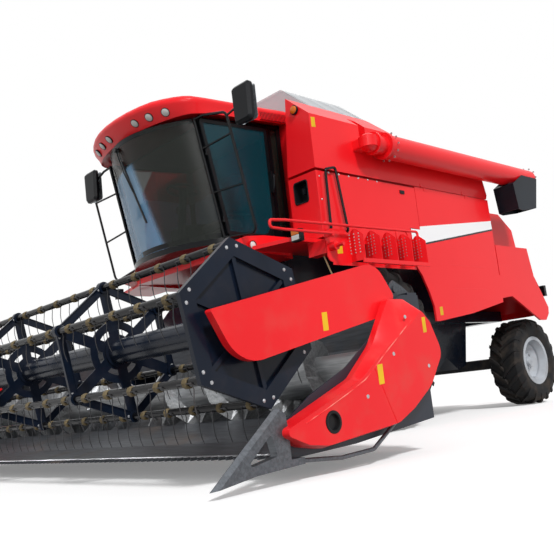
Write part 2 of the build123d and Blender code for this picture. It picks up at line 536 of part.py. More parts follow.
def cab_roof():
    """Roof pressing: a crowned shell form that rises to the rear, with a curved brow for six lamps."""
    side, shoulder, crown = ROOF_HALF, ROOF_SHOULDER - ROOF_CREASE, ROOF_CROWN - ROOF_CREASE
    edges = [
        Line((-side, -260), (side, -260)), Line((side, -260), (side, 0)),
        ThreePointArc((side, 0), (side - 28, shoulder / 2 + 18), (side - 95, shoulder)),
        ThreePointArc((side - 95, shoulder), (0, crown), (95 - side, shoulder)),
        ThreePointArc((95 - side, shoulder), (28 - side, shoulder / 2 + 18), (-side, 0)),
        Line((-side, 0), (-side, -260)),
    ]
    start = Plane(origin=(0, ROOF_FRONT - 300, ROOF_CREASE - 300 * ROOF_RISE), x_dir=(1, 0, 0), z_dir=(0, -1, -ROOF_RISE))
    form = extrude(start * make_face(edges), -2200)
    brow_end, rear = ROOF_FRONT + ROOF_BROW, TANK_NICHE - 5
    arc = ThreePointArc((-side + 35, brow_end), (0, ROOF_FRONT), (side - 35, brow_end))
    plan = make_face([arc, Line((side - 35, brow_end), (side + 20, brow_end + 200)), Line((side + 20, brow_end + 200), (side + 20, rear)),
                      Line((side + 20, rear), (-side - 20, rear)), Line((-side - 20, rear), (-side - 20, brow_end + 200)),
                      Line((-side - 20, brow_end + 200), (-side + 35, brow_end))])
    top = CAB_SIDE_TOP
    brow_y = lean(PILLAR_FOOT, top)
    under = slab([(ROOF_FRONT - 100, 4200), (ROOF_FRONT - 100, ROOF_LIP), (ROOF_FRONT + 60, ROOF_LIP), (brow_y, top), (CAB_REAR - PILLAR, top + 112),
                  (rear, top + 112), (rear, 4200)], -side - 30, side + 30)
    roof = form & extrude(Pos(0, 0, 3200) * plan, 900) & under
    lamp_face = Plane(origin=(0, ROOF_FRONT + 150, (ROOF_LIP + top) / 2), z_dir=(0, -0.35, -1))
    for x, back in LAMP_PLACES:
        recess = rod((x, ROOF_FRONT + back, 3200), (x, ROOF_FRONT + back, lamp_face.origin.Z + 65 - 0.2 * back), LAMP_RADIUS)
        roof = roof - recess - mirrored(recess)
    return roof


def door_hinge(s):
    """Point on the leaning door hinge, s above the cab floor."""
    return (CAB_HALF + DOOR_HINGE[0], PILLAR_FOOT + DOOR_HINGE[1] - CAB_LEAN * s, CAB_FLOOR + s)


def build_door():
    low, high = CAB_FLOOR + 20, CAB_SIDE_TOP - 20
    leaf = Plane.YZ * outline([
        (lean(PILLAR_FOOT, low) + 10, low, 30), (lean(PILLAR_FOOT, high) + 10, high, 30), (DOOR_REAR, high + 50, 30),
        (DOOR_REAR, low + 250, 150), (DOOR_REAR - 100, low + 25, 90), (DOOR_REAR - 200, low)])
    window = offset(leaf, -38)
    inside = CAB_HALF + 6
    frame = Pos(inside, 0, 0) * extrude(leaf - window, 20)
    handle = block((inside + 19, inside + 60), (DOOR_REAR - 32, DOOR_REAR - 8), (low + 520, low + 760))
    frame = join(frame, handle)
    for s in DOOR_HINGES:
        x, y, z = door_hinge(s + 45)
        frame = join(frame, rod(door_hinge(s + 30.3), door_hinge(s + 60), 9), block((x - 9, x - 2), (y, y + 25), (z - 8, z + 8)))
    nodes["cab_door_frame"] = frame
    nodes["cab_door_glass"] = Pos(inside + 7, 0, 0) * extrude(window, GLASS)


def build_platform():
    """Walkway left of the cab, the rounded fairings under the cab and the handrails."""
    fairing = slab([(-1570, 2075, 12), (-1430, 2130, 200), (-1180, 2155, 300), (TANK_FRONT, 2155), (TANK_FRONT, 1955),
                    (-865, 1955, 60), (-1290, 1970, 300), (-1540, 2040, 30)], CAB_HALF, POD_X)
    lamp = rod((POD_X - 1, POD_LAMP[0], POD_LAMP[1]), (POD_X + 30, POD_LAMP[0], POD_LAMP[1]), 55)
    fairing = fairing + lamp - rod((POD_X + 12, POD_LAMP[0], POD_LAMP[1]), (POD_X + 31, POD_LAMP[0], POD_LAMP[1]), 47)
    belly = slab([(PILLAR_FOOT, 1985), (PILLAR_FOOT, CAB_FLOOR - 60), (-560, CAB_FLOOR - 60), (-560, 1985)], -CAB_HALF, CAB_HALF)
    walkway = flat([(CAB_HALF, -1450), (BODY_HALF, -1250), (BODY_HALF, TANK_FRONT), (CAB_HALF, TANK_FRONT)],
                   PLATFORM_Z - 40, PLATFORM_Z)
    out = BODY_HALF + 45
    rails = pipe([(BODY_HALF, -735, 2120), (out, -735, 2120), (out, -715, 2770), (out, -560, 2810), (out, -470, 2120),
                  (BODY_HALF, -470, 2120)], 14, 28)
    bracket = block((BODY_HALF - 100, LADDER_X[0] - CLEAR), (LADDER_PIVOT[0] - 60, LADDER_PIVOT[0] + 60), (LADDER_PIVOT[1] - 60, PLATFORM_Z - 39))
    pin = rod((BODY_HALF, *LADDER_PIVOT), (LADDER_X[1] - 20, *LADDER_PIVOT), 20)
    nodes["platform"] = join(both(walkway + fairing), belly, bracket, pin)
    nodes["handrails"] = both(rails)


def build_corner_frames():
    """Leaning frames of one bent tube at the cab's front corners, with the mirrors on their arms."""
    foot = PILLAR_FOOT - 15
    inner = CAB_HALF - 20
    frames = []
    for side in (1, -1):
        def on_frame(x, z):
            return (side * x, lean(foot, z), z)

        frames += [pipe([on_frame(inner + 5, 2169), on_frame(FRAME_X, 2110), on_frame(FRAME_X, 3316), on_frame(1000, 3403),
                         on_frame(inner + 5, 3410)], 14, 70), rod(on_frame(inner, 2156), on_frame(inner, 3424), 14)]
        for inner_z, outer_z in ((2635, 2602), (3095, 3103)):
            frames.append(rod(on_frame(inner, inner_z), on_frame(FRAME_X, outer_z), 11))
    y = lean(foot, MIRROR_Z)
    left = rod((FRAME_X, y, MIRROR_Z), (MIRROR_LEFT - MIRROR_SIZE[0] / 2 + 30, y - 50, MIRROR_Z), 11)
    right = rod((-FRAME_X, y, MIRROR_Z), (-FRAME_X, y - 50, MIRROR_Z), 11)
    mirrors = join(*[Pos(x, y - 34, MIRROR_Z) * mirror_head() for x in (MIRROR_LEFT, MIRROR_RIGHT)])
    nodes["corner_frames"] = join(*frames, left, right) - mirrors - nodes["cab_frame"]
    nodes["mirrors"] = mirrors


def mirror_head():
    """Mirror with its glass face on y = 0 and a rounded shell ahead of it."""
    wide, high = MIRROR_SIZE
    face = outline([(-wide / 2 + 12, -high / 2, 50), (wide / 2 - 12, -high / 2, 50), (wide / 2, high / 2, 50), (-wide / 2, high / 2, 50)])
    planes = [(0, 0), (-30, 0), (-58, -28)]
    rings = [Pos(0, y, 0) * (Plane.XZ * moved_edge(face, by)) for y, by in planes]
    return join(loft(rings[:2], ruled=True), loft(rings[1:], ruled=True))


def build_ladder():
    x0, x1 = LADDER_X
    y0, z0 = LADDER_PIVOT
    first = LADDER_FIRST_STEP
    end = first + LADDER_STEP_PITCH * (LADDER_STEPS - 1) + 60
    plate = slab([(y0 - 60, z0 - 150, 60), (y0 - 60, z0 + 190, 90), (first + 35, z0 + 190, 90), (first + 35, z0 - 150)], x0, x0 + 12)
    rail = block((x0, x0 + 12), (y0 + 10, end), (z0 - 180, z0 - 138))
    rails = rail + Pos(x1 - x0 - 12, 0, 0) * block((x0, x0 + 12), (first - 10, end), (z0 - 180, z0 - 138))
    high = block((x0, x0 + 12), (y0 - 70, end), (z0 + 60, z0 + 110))
    eye = rod((x0 + 12, y0, z0), (x0 + 90, y0, z0), 45)
    shape = join(plate, rails, high, eye)
    middle = (x0 + x1) / 2
    tread = outline([(x0, z0 - 150), (x1, z0 - 150), (x1, z0 + 110, 15), (middle, z0 + 204, 60), (x0, z0 + 110, 15)])
    for i in range(LADDER_STEPS):
        y = first + LADDER_STEP_PITCH * i
        chevron = [(x0, y + 25), (middle, y), (x1, y + 25), (x1, y + 25 + STEP_SHEET), (middle, y + STEP_SHEET), (x0, y + 25 + STEP_SHEET)]
        shape = shape + (front(tread, y - 5, y + 40) & flat(chevron, z0 - 160, z0 + 220))
    shape = shape - rod((x0 - 50, y0, z0), (x1 + 50, y0, z0), 20 + RUNNING_GAP)
    last = first + LADDER_STEP_PITCH * (LADDER_STEPS - 1)
    grip = pipe([(x0 + 6, last - 220, z0 + 105), (x0 + 6, last - 220, z0 + 262), (x0 + 6, last - 20, z0 + 250), (x0 + 6, last - 20, z0 + 105)], 9, 40)
    rail_x = x0 + 100
    hand = pipe([(rail_x, end - 20, z0 + 150), (rail_x, end - 25, z0 + 232), (rail_x, -1600, z0 + 195),
                 (rail_x, -1790, z0 + 180), (rail_x, -1790, z0 + 110), (rail_x, -1600, z0 + 105),
                 (rail_x, y0 - 60, z0 + 115)], 14, 30)
    nodes["access_ladder"] = join(shape, grip, hand, block((x0, x0 + 114), (y0 - 75, y0 - 45), (z0 + 90, z0 + 140)),
                                  block((x0, x0 + 114), (end - 40, end), (z0 + 90, z0 + 160)))


def build_unloading():
    x, y, z = TUBE_X, TUBE_PIVOT_Y, TUBE_Z
    turn = rod((x, y, z - 200), (x, y, z + 200), SLEEVE_RADIUS + SEAT_GAP)
    stowed = rod((x, y, z), (x, y + 400, z), SLEEVE_RADIUS + SEAT_GAP)
    saddle = slab([(y - 85, z - 60, 20), (y + 50, z - 60), (y + 50, z + 60), (y - 85, z + 60, 20)], BODY_HALF, x - 60)
    nodes["unloading_stand"] = saddle - turn - stowed
    ball = Pos(x, y, z) * Sphere(SLEEVE_RADIUS) + rod((x, y, z - 60), (x, y, z + 60), SLEEVE_RADIUS)
    sleeve = rod((x, y, z), (x, y + 270, z), SLEEVE_RADIUS)
    flange = rod((x, y + 60, z), (x, y + 90, z), SLEEVE_RADIUS + 22) + rod((x, y + 240, z), (x, y + 270, z), TUBE_RADIUS + 14)
    tube = rod((x, y + 270, z), (x, TUBE_END, z), TUBE_RADIUS)
    nodes["unloading_tube"] = join(ball, sleeve, flange, tube)
    boot = slab([(TUBE_END - 690, z - 170), (TUBE_END - 640, z - 510), (TUBE_END - 540, z - 525), (TUBE_END - 150, z - 460),
                 (TUBE_END - 10, z - 40), (TUBE_END - 10, z - 20), (TUBE_END - 420, z - 20)], x - 150, x + 150)
    hollow = slab([(TUBE_END - 676, z - 165), (TUBE_END - 626, z - 560), (TUBE_END - 160, z - 560), (TUBE_END - 164, z - 455),
                   (TUBE_END - 24, z - 36), (TUBE_END - 24, z - 10), (TUBE_END - 420, z - 10)], x - 140, x + 140)
    nodes["unloading_spout"] = boot - hollow - rod((x, TUBE_END - 800, z), (x, TUBE_END + 50, z), TUBE_RADIUS)


# ---------------------------------------------------------------- header
def trough_line(gap):
    """(y, z) line of the header floor and back, moved off the auger side by gap."""
    y, z = AUGER_CENTRE
    radius = TROUGH_RADIUS + gap
    points = [(KNIFE_Y, KNIFE_Z - gap), (-2750, 205 - gap)]
    for angle in range(235, 360, 15):
        points.append((y + radius * cos(radians(angle)), z + radius * sin(radians(angle))))
    return points + [(y + radius, z), (TROUGH_BACK, 800), (TROUGH_BACK, TROUGH_TOP)] if gap else points + [
        (y + radius, z), (TROUGH_BACK - END_SHEET, 800), (TROUGH_BACK - END_SHEET, TROUGH_TOP)]


def build_feeder():
    y, z = FEEDER_PIVOT
    side = [
        (TROUGH_BACK, 345), (TROUGH_BACK, 950), (y - 150, z + 235), (y, z + 235), (y, z - 250), (y - 60, z - 270),
    ]
    body = slab(side, -FEEDER_HALF, FEEDER_HALF) + drum(-FEEDER_HALF, FEEDER_HALF, y, z, FEEDER_DRUM)
    throat = block((-FEEDER_HALF + 60, FEEDER_HALF - 60), (TROUGH_BACK - 10, TROUGH_BACK + 320), (420, 900))
    pins = both(drum(FEEDER_HALF - 1, FEEDER_HALF + 90, y, z, LIFT_PIN))
    eye_y, eye_z = CYLINDER_EYE
    lug = block((CYLINDER_X - 60, CYLINDER_X - 40), (eye_y - 40, eye_y + 40), (eye_z - 40, eye_z + 260))
    lugs = lug + Pos(100, 0, 0) * lug + drum(CYLINDER_X - 60, CYLINDER_X + 60, eye_y, eye_z, 22)
    nodes["feeder_house"] = join(body - throat, pins, both(lugs))


def build_header():
    half = HEADER_HALF
    sheet = slab(trough_line(0) + list(reversed(trough_line(10))), -half, half)
    sheet = sheet - block((-FEEDER_HALF + 60, FEEDER_HALF - 60), (TROUGH_BACK - 60, TROUGH_BACK + 5), (420, 900))
    top_beam = block((-half, half), (TROUGH_BACK, TROUGH_BACK + 100), (TROUGH_TOP - 80, TROUGH_TOP))
    low_beam = block((-half, half), (TROUGH_BACK, TROUGH_BACK + 100), (230, 340))
    ribs = [block((x - 30, x + 30), (TROUGH_BACK, TROUGH_BACK + 70), (339, TROUGH_TOP - 79)) for x in (700, 1800, 2900)]
    end = slab([
        (-3290, 130), (-3290, 262), (-3262, 340, 20), (-3010, 490, 200), (-2656, 640, 200), (-2320, 860), (-2140, 1075), (-1950, 1130), (TROUGH_BACK + 100, 1130),
        (TROUGH_BACK + 100, 230), (-2250, 185), (-2640, 150)], half, half + END_SHEET)
    py, pz = ARM_PIVOT
    cheek = slab([(py - 55, pz - 90), (py - 55, pz + 30), (py, pz + 70), (py + 90, pz + 30), (py + 190, TROUGH_TOP - 1),
                  (TROUGH_BACK, TROUGH_TOP - 1), (TROUGH_BACK, pz - 90)], 0, 14)
    bearing = Pos(ARM_X[0] - 18, 0, 0) * cheek + Pos(ARM_X[1] + 4, 0, 0) * cheek
    bearing = bearing - drum(ARM_X[0] - 50, ARM_X[1] + 50, py, pz, 25)
    bearing = bearing + drum(ARM_X[0] - 30, ARM_X[1] + 30, py, pz, 25)
    nodes["header_trough"] = join(sheet, top_beam, low_beam, both(join(*ribs)), both(end), both(bearing))

    bar = block((-half, half), (KNIFE_Y - 40, KNIFE_Y), (KNIFE_Z - 14, KNIFE_Z + 8))
    count = int(2 * (half - 30) / GUARD_PITCH)
    comb = [(-half, KNIFE_Y - 39)]
    for i in range(count):
        x = (i - (count - 1) / 2) * GUARD_PITCH
        comb += [(x - 20, KNIFE_Y - 41), (x - 5, KNIFE_Y - 135), (x + 5, KNIFE_Y - 135), (x + 20, KNIFE_Y - 41)]
    comb += [(half, KNIFE_Y - 39)]
    nodes["cutter_bar"] = join(bar, flat(comb, KNIFE_Z - 12, KNIFE_Z + 2))

    x0, x1 = half + END_SHEET, SHIELD_OUTSIDE
    face = outline([
        (-3395, 294, 30), (-2667, 548, 120), (-2365, 750, 200), (-2036, 915, 100), (-1930, 1003, 40), (-1834, 910, 60), (-1735, 690, 110),
        (-1917, 464, 300), (-2148, 324, 200), (-2330, 246, 200), (-3021, 182, 200), (-3188, 206, 30)])
    edge = outline([
        (-3395, 294, 30), (-2667, 565, 120), (-2420, 770, 200), (-2190, 1089, 60), (-2000, 1089, 80), (-1834, 925, 120), (-1735, 690, 110),
        (-1917, 450, 300), (-2148, 300, 200), (-2330, 225, 200), (-3021, 165, 200), (-3188, 195, 30)])
    fold = loft([Pos(x, 0, 0) * (Plane.YZ * shape) for x, shape in ((x0 + 50, edge), (x1, face))], ruled=True)
    shield = join(slab(edge, x0, x0 + 51), fold)
    hole = rod((x1 - 22, *SHIELD_HOLE), (x1 + 1, *SHIELD_HOLE), 70)
    groove = rod((x1, -2520, 620), (x1, -2353, 238), 5)
    shield = shield - hole - groove

    tip_y, tip_z = DIVIDER_TIP
    x = x0 + 45
    ridge = Plane(origin=(x, tip_y, tip_z), x_dir=(1, 0, 0), z_dir=(0, -3362 - tip_y, 440 - tip_z))
    roof = extrude(ridge * make_face(Polyline((0, -2), (32, 24), (32, 700), (-32, 700), (-32, 24), close=True)), 900)
    nose = slab([(tip_y, tip_z), (-3362, 440, 25), (-3305, 400, 20), (-3292, 300), (-3292, 138), (-3185, 138), (-3185, 100), (-3560, 85)],
                x - 30, x + 30) & roof
    nose = nose - slab([(-3640, 128, 15), (-3430, 300, 15), (-3395, 170, 15)], x0, x0 + 100)
    strap = block((x0 - 1 - END_SHEET, x0 + 16), (-3330, -3291), (140, 262))
    skid = pipe([(x, -3210, 120), (x, -3017, 104), (x, -2840, 88), (x, -2527, 100), (x, -2264, 250)], 14, 60)
    divider = join(nose, strap, skid)
    nodes["crop_dividers"] = both(divider)
    nodes["side_shields"] = both(shield - divider)

    y, z = AUGER_CENTRE
    tube = drum(-half + 15, half - 15, y, z, AUGER_TUBE_RADIUS)
    stubs = both(drum(half - 16, half - 0.3, y, z, 60))
    length = half - 40 - FEEDER_HALF + 60
    flight = helix_flight(AUGER_TUBE_RADIUS - 2, AUGER_RADIUS, AUGER_PITCH, length, 5)
    left = Pos(half - 40, y, z) * (Rot(0, -90, 0) * flight)
    nodes["intake_auger"] = join(tube, stubs, left, mirrored(left))


def helix_flight(inner, outer, pitch, length, thick):
    """Helical sheet about +Z, pressed from flat sectors as such flighting is."""
    turns = length / pitch
    count = round(turns * FLIGHT_SECTORS)
    rows = []
    for i in range(count + 1):
        angle, z = 2 * pi * turns * i / count, length * i / count
        ends = [(r * cos(angle), r * sin(angle)) for r in (inner, outer)]
        rows.append([(x, y, z + dz) for dz in (0, thick) for x, y in ends])
    faces = []
    for (a, b, c, d), (e, f, g, h) in zip(rows, rows[1:]):
        for triangle in ((a, b, f), (a, f, e), (c, g, h), (c, h, d), (b, d, h), (b, h, f), (a, e, g), (a, g, c)):
            faces.append(Face(Wire.make_polygon(triangle)))
    for a, b, c, d in (rows[0], rows[-1]):
        faces.append(Face(Wire.make_polygon([a, b, d, c])))
    return Solid(Shell(faces))


def build_reel():
    cy, cz = REEL_CENTRE
    py, pz = ARM_PIVOT
    arm = slab([(cy - 60, cz - 62), (cy - 60, cz + 62), (py + 40, pz + 62), (py + 62, pz), (py + 40, pz - 62)], *ARM_X)
    arm = arm - drum(ARM_X[0] - 1, ARM_X[1] + 1, py, pz, 25 + RUNNING_GAP)
    arm = arm - drum(ARM_X[0] - 1, ARM_X[1] + 1, cy, cz, REEL_SHAFT + RUNNING_GAP)
    nodes["reel_arms"] = both(arm)

    cover = [(-3710, 1028, 15), (-2190, 1368, 180), (-2014, 1118, 40), (-2201, 973, 60), (-3523, 689, 250)]
    pad = drum(ARM_X[1], COVER_X[0] + 1, -2500, 1075, 30) + drum(ARM_X[1], COVER_X[0] + 1, -3150, 990, 30)
    nodes["reel_covers"] = both(slab(cover, *COVER_X) + pad)

    tube = drum(REEL_RIM - REEL_HALF, REEL_HALF - REEL_RIM, cy, cz, REEL_TUBE_RADIUS)
    shafts = both(drum(REEL_HALF - REEL_RIM - 1, ARM_X[1] - 2, cy, cz, REEL_SHAFT))
    spiders = [Pos(x, 0, 0) * spider() for x in SPIDER_X]
    frame = join(tube, shafts, *spiders)
    inside = REEL_HALF - REEL_RIM
    rim_band = hexagon(REEL_RADIUS + 40) - hexagon(REEL_RADIUS - 80)
    ribs = [Pos(cy, cz, 0) * Rot(0, 0, a) * Pos(REEL_RADIUS / 2, 0, 0) * Rectangle(REEL_RADIUS - 60, 30) for a in REEL_ANGLES]
    hub = Pos(cy, cz, 0) * Circle(110)
    plate = slab(hexagon(REEL_RADIUS + 20), inside, inside + 8) + slab(rim_band, inside, REEL_HALF)
    for rib in ribs:
        plate = plate + slab(rib, inside + 7, REEL_HALF - 8)
    plate = plate + slab(hub, inside, REEL_HALF - 4) - drum(inside - 1, REEL_HALF + 1, cy, cz, REEL_SHAFT)
    nodes["reel_frame"] = frame
    nodes["reel_end_plates"] = both(plate)

    count = int((REEL_HALF - 80) / TINE_PITCH)
    tine_x = [i * TINE_PITCH for i in range(-count, count + 1)]
    tine_x = [x for x in tine_x if min(abs(x - s) for s in SPIDER_X) > 45]
    for i, angle in enumerate(REEL_ANGLES):
        y, z = on_reel(angle)
        tines = [block((x - 3, x + 3), (y - 3, y + 3), (z - TINE_LENGTH, z - BAT_RADIUS + 6)) for x in tine_x]
        end = REEL_HALF - REEL_RIM - SEAT_GAP
        bat = drum(-end, end, y, z, BAT_RADIUS)
        nodes[f"reel_bat_{i + 1}"] = bat + tines


def hexagon(radius):
    """Side-view face through the reel's corners."""
    return outline([on_reel(a, radius) for a in REEL_ANGLES])


def spider():
    """One reel spider in the plane x = 0: rim channels, arms, a ring hub and bored corner bosses."""
    cy, cz = REEL_CENTRE
    web = hexagon(REEL_RADIUS + SPIDER_BAR / 2) - hexagon(REEL_RADIUS - SPIDER_BAR / 2)
    for angle in REEL_ANGLES:
        web = web + Pos(cy, cz, 0) * Rot(0, 0, angle) * Pos(REEL_RADIUS * 0.6, 0, 0) * Rectangle(REEL_RADIUS * 0.75, SPIDER_ARM)
    web = web + Pos(cy, cz, 0) * (Circle(235) - Circle(175)) + Pos(cy, cz, 0) * Circle(135)
    for angle in REEL_ANGLES:
        web = web + Pos(cy, cz, 0) * Rot(0, 0, angle) * Pos(150, 0, 0) * Rectangle(80, SPIDER_ARM)
    rim_edge = hexagon(REEL_RADIUS + SPIDER_BAR / 2) - hexagon(REEL_RADIUS + SPIDER_BAR / 2 - 8)
    rim_edge = rim_edge + hexagon(REEL_RADIUS - SPIDER_BAR / 2 + 8) - hexagon(REEL_RADIUS - SPIDER_BAR / 2)
    shape = slab(web, -4, 4) + slab(rim_edge, -13, 12) + drum(-20, 20, cy, cz, 118)
    for angle in REEL_ANGLES:
        y, z = on_reel(angle)
        shape = shape + drum(-22, 22, y, z, 46) - drum(-30, 30, y, z, BAT_RADIUS + RUNNING_GAP)
    return shape - drum(-30, 30, cy, cz, REEL_TUBE_RADIUS - 5)


def build_cylinders():
    foot, eye = Vector(CYLINDER_X, *CYLINDER_FOOT), Vector(CYLINDER_X, *CYLINDER_EYE)
    along = (eye - foot).normalized()
    barrel = rod(tuple(foot - along * 30), tuple(foot + along * 900), 55)
    barrel = barrel - rod(tuple(foot + along * 40), tuple(foot + along * 901), 30 + RUNNING_GAP)
    barrel = barrel - drum(CYLINDER_X - 80, CYLINDER_X + 80, *CYLINDER_FOOT, 25 + RUNNING_GAP)
    ram = rod(tuple(foot + along * 300), tuple(eye - along * 30), 30)
    eye_ring = drum(CYLINDER_X - 35, CYLINDER_X + 35, *CYLINDER_EYE, 45)
    ram = ram + eye_ring - drum(CYLINDER_X - 80, CYLINDER_X + 80, *CYLINDER_EYE, 30)
    nodes["lift_cylinder_barrels"] = both(barrel)
    nodes["lift_cylinder_rods"] = both(ram)
    y, z = CYLINDER_FOOT
    ear = block((CYLINDER_X - 82, CYLINDER_X - 62), (y - 50, y + 80), (z - 50, 760))
    ears = ear + Pos(144, 0, 0) * ear + drum(CYLINDER_X - 82, CYLINDER_X + 82, y, z, 25)
    nodes["front_axle"] = join(nodes["front_axle"], both(ears))


build_wheels()
build_front_axle()
build_rear_axle()
build_chassis()
build_threshing_body()
build_grain_tank()
build_tank_lids()
build_engine_bay()
build_side_panels()
build_rear_hood()
build_cab()
build_door()
build_platform()
build_corner_frames()
build_ladder()
build_unloading()
build_feeder()
build_header()
build_reel()
build_cylinders()

os.makedirs("parts", exist_ok=True)
for node, shape in nodes.items():
    export_step(Pos(0, SHIFT_Y, 0) * shape, f"parts/{node}.step")
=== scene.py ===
# %% [markdown]
# # Combine harvester
# The machine comes in as a imported model whose pieces ride on named bodies: the chassis, the
# header, the reel, each wheel and so on. This file gives every piece its real finish, and
# builds what is too fine for the solid model: tread lugs, spring tines, lamps, bolts.

# %% Load the imported machine
import math
from functools import cache

import bmesh
import bpy
from mathutils import Matrix, Quaternion, Vector
from mathutils.bvhtree import BVHTree


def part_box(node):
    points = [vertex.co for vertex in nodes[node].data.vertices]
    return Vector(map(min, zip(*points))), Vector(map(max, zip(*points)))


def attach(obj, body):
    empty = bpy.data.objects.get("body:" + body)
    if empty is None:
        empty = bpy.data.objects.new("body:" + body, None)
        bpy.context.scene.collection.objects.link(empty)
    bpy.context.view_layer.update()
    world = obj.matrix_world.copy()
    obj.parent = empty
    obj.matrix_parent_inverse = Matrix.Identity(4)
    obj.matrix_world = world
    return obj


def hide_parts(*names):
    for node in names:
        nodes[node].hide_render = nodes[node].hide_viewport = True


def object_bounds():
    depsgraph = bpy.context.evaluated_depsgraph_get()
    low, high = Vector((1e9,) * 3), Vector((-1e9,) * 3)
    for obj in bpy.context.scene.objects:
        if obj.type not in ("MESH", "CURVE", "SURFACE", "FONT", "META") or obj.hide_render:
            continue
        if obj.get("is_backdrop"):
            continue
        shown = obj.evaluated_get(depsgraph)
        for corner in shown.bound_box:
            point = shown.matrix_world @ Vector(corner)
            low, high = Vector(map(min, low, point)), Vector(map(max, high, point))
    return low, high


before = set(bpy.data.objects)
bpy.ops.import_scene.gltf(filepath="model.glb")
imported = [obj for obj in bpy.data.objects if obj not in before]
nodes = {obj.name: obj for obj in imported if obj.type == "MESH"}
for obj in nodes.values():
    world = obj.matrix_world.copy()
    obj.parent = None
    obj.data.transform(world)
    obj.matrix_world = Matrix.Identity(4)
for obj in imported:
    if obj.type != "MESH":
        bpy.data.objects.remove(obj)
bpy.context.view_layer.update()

# %% [markdown]
# The camera stands close to the ground at the machine's front left corner and looks slightly
# upwards, with a small tilt of the horizon. Its lens is a normal one.

# %% Camera
CAMERA_AT = Vector((6.549, -6.4515, 0.509))
HEADING, RISE, TILT = math.radians(46.252), math.radians(-9.103), math.radians(-6.268)
LENS, SENSOR = 47.75, 36.0          # mm

back = Vector((math.sin(HEADING) * math.cos(RISE),
               -math.cos(HEADING) * math.cos(RISE), math.sin(RISE)))
camera = bpy.data.objects.new("camera", bpy.data.cameras.new("camera"))
bpy.context.scene.collection.objects.link(camera)
camera.data.lens, camera.data.sensor_width = LENS, SENSOR
camera.location = CAMERA_AT
camera.rotation_mode = "QUATERNION"
camera.rotation_quaternion = back.to_track_quat("Z", "Y") @ Quaternion((0, 0, 1), TILT)
bpy.context.scene.camera = camera
bpy.context.scene.view_settings.view_transform = "Standard"
print("camera at", tuple(round(v, 2) for v in camera.location))

# %% [markdown]
# Shader maths reads best as plain expressions, so a socket is wrapped in a small class whose
# operators add Math nodes. Everything else comes from one method, `node`, which takes the
# node's type, its settings and the values or links of its sockets. Materials, the world and
# the Geometry Nodes rules all share it.

# %% Shader tools
class Wire:
    """One output socket. Arithmetic on it adds Math nodes to its tree."""

    def __init__(self, tree, socket):
        self.tree, self.socket = tree, socket

    def maths(self, operation, *values):
        made = self.tree.nodes.new("ShaderNodeMath")
        made.operation = operation
        for slot, value in zip(made.inputs, values):
            feed(self.tree, slot, value)
        return Wire(self.tree, made.outputs[0])

    def __add__(self, other): return self.maths("ADD", self, other)
    def __sub__(self, other): return self.maths("SUBTRACT", self, other)
    def __mul__(self, other): return self.maths("MULTIPLY", self, other)
    def __truediv__(self, other): return self.maths("DIVIDE", self, other)
    def __radd__(self, other): return self.maths("ADD", other, self)
    def __rsub__(self, other): return self.maths("SUBTRACT", other, self)
    def __rmul__(self, other): return self.maths("MULTIPLY", other, self)
    def __gt__(self, other): return self.maths("GREATER_THAN", self, other)
    def __lt__(self, other): return self.maths("LESS_THAN", self, other)
    def __mod__(self, other): return self.maths("FLOORED_MODULO", self, other)
    def size(self): return self.maths("ABSOLUTE", self)
    def sine(self): return self.maths("SINE", self)
    def whole(self): return self.maths("FLOOR", self)

    def ramp(self, low, high):
        """0 below low, 1 above high, smooth in between."""
        made = self.tree.nodes.new("ShaderNodeMapRange")
        made.interpolation_type = "SMOOTHSTEP"
        for name, value in (("Value", self), ("From Min", low), ("From Max", high)):
            feed(self.tree, made.inputs[name], value)
        return Wire(self.tree, made.outputs[0])


def feed(tree, slot, value):
    """Link a wire to a socket, or set its value."""
    if isinstance(value, Wire):
        tree.links.new(value.socket, slot)
    elif isinstance(value, tuple) and len(value) == 3 and slot.type == "RGBA":
        slot.default_value = (*value, 1)
    else:
        slot.default_value = value


class Tree:
    """A node tree under construction."""

    def __init__(self, tree):
        self.tree = tree
        tree.nodes.clear()

    def node(self, kind, out=0, settings=None, **inputs):
        """Add a node: settings first, then its inputs by name, with _ for a space."""
        made = self.tree.nodes.new(kind)
        for key, value in (settings or {}).items():
            setattr(made, key, value)
        for key, value in inputs.items():
            name = key.replace("_", " ")
            feed(self.tree, made.inputs[name if name in made.inputs else int(key[1:])], value)
        return made if out is None else Wire(self.tree, made.outputs[out])

    def vector(self, operation, first, second):
        """Vector Math on two wires or tuples."""
        return self.node("ShaderNodeVectorMath", settings={"operation": operation}, _0=first, _1=second)

    def end(self, kind, result):
        """Finish the tree with an output node."""
        self.tree.links.new(result.socket, self.tree.nodes.new(kind).inputs[0])


class Finish(Tree):
    """A material under construction."""

    def __init__(self, name):
        self.material = bpy.data.materials.new(name)
        self.material.use_nodes = True
        super().__init__(self.material.node_tree)
        self.place = self.node("ShaderNodeTexCoord", out="Object")
        split = self.node("ShaderNodeSeparateXYZ", Vector=self.place, out=None)
        self.x, self.y, self.z = (Wire(self.tree, s) for s in split.outputs)

    def noise(self, scale, detail=3.0, rough=0.5, stretch=None):
        """Cloudy variation from 0 to 1. scale is in waves a metre."""
        place = self.vector("MULTIPLY", self.place, stretch) if stretch else self.place
        return self.node("ShaderNodeTexNoise", Vector=place, Scale=scale, Detail=detail, Roughness=rough)

    def mix(self, share, low, high):
        """Colour low where share is 0, high where it is 1. The node's inputs 6 and 7 are its colours."""
        return self.node("ShaderNodeMix", out=2, settings={"data_type": "RGBA"}, _0=share, _6=low, _7=high)

    def bump(self, height, strength, distance):
        return self.node("ShaderNodeBump", Height=height, Strength=strength, Distance=distance)

    def close(self, **inputs):
        """End in a Principled shader with these inputs, and return the material."""
        self.end("ShaderNodeOutputMaterial", self.node("ShaderNodeBsdfPrincipled", **inputs))
        return self.material


print("shader tools ready")

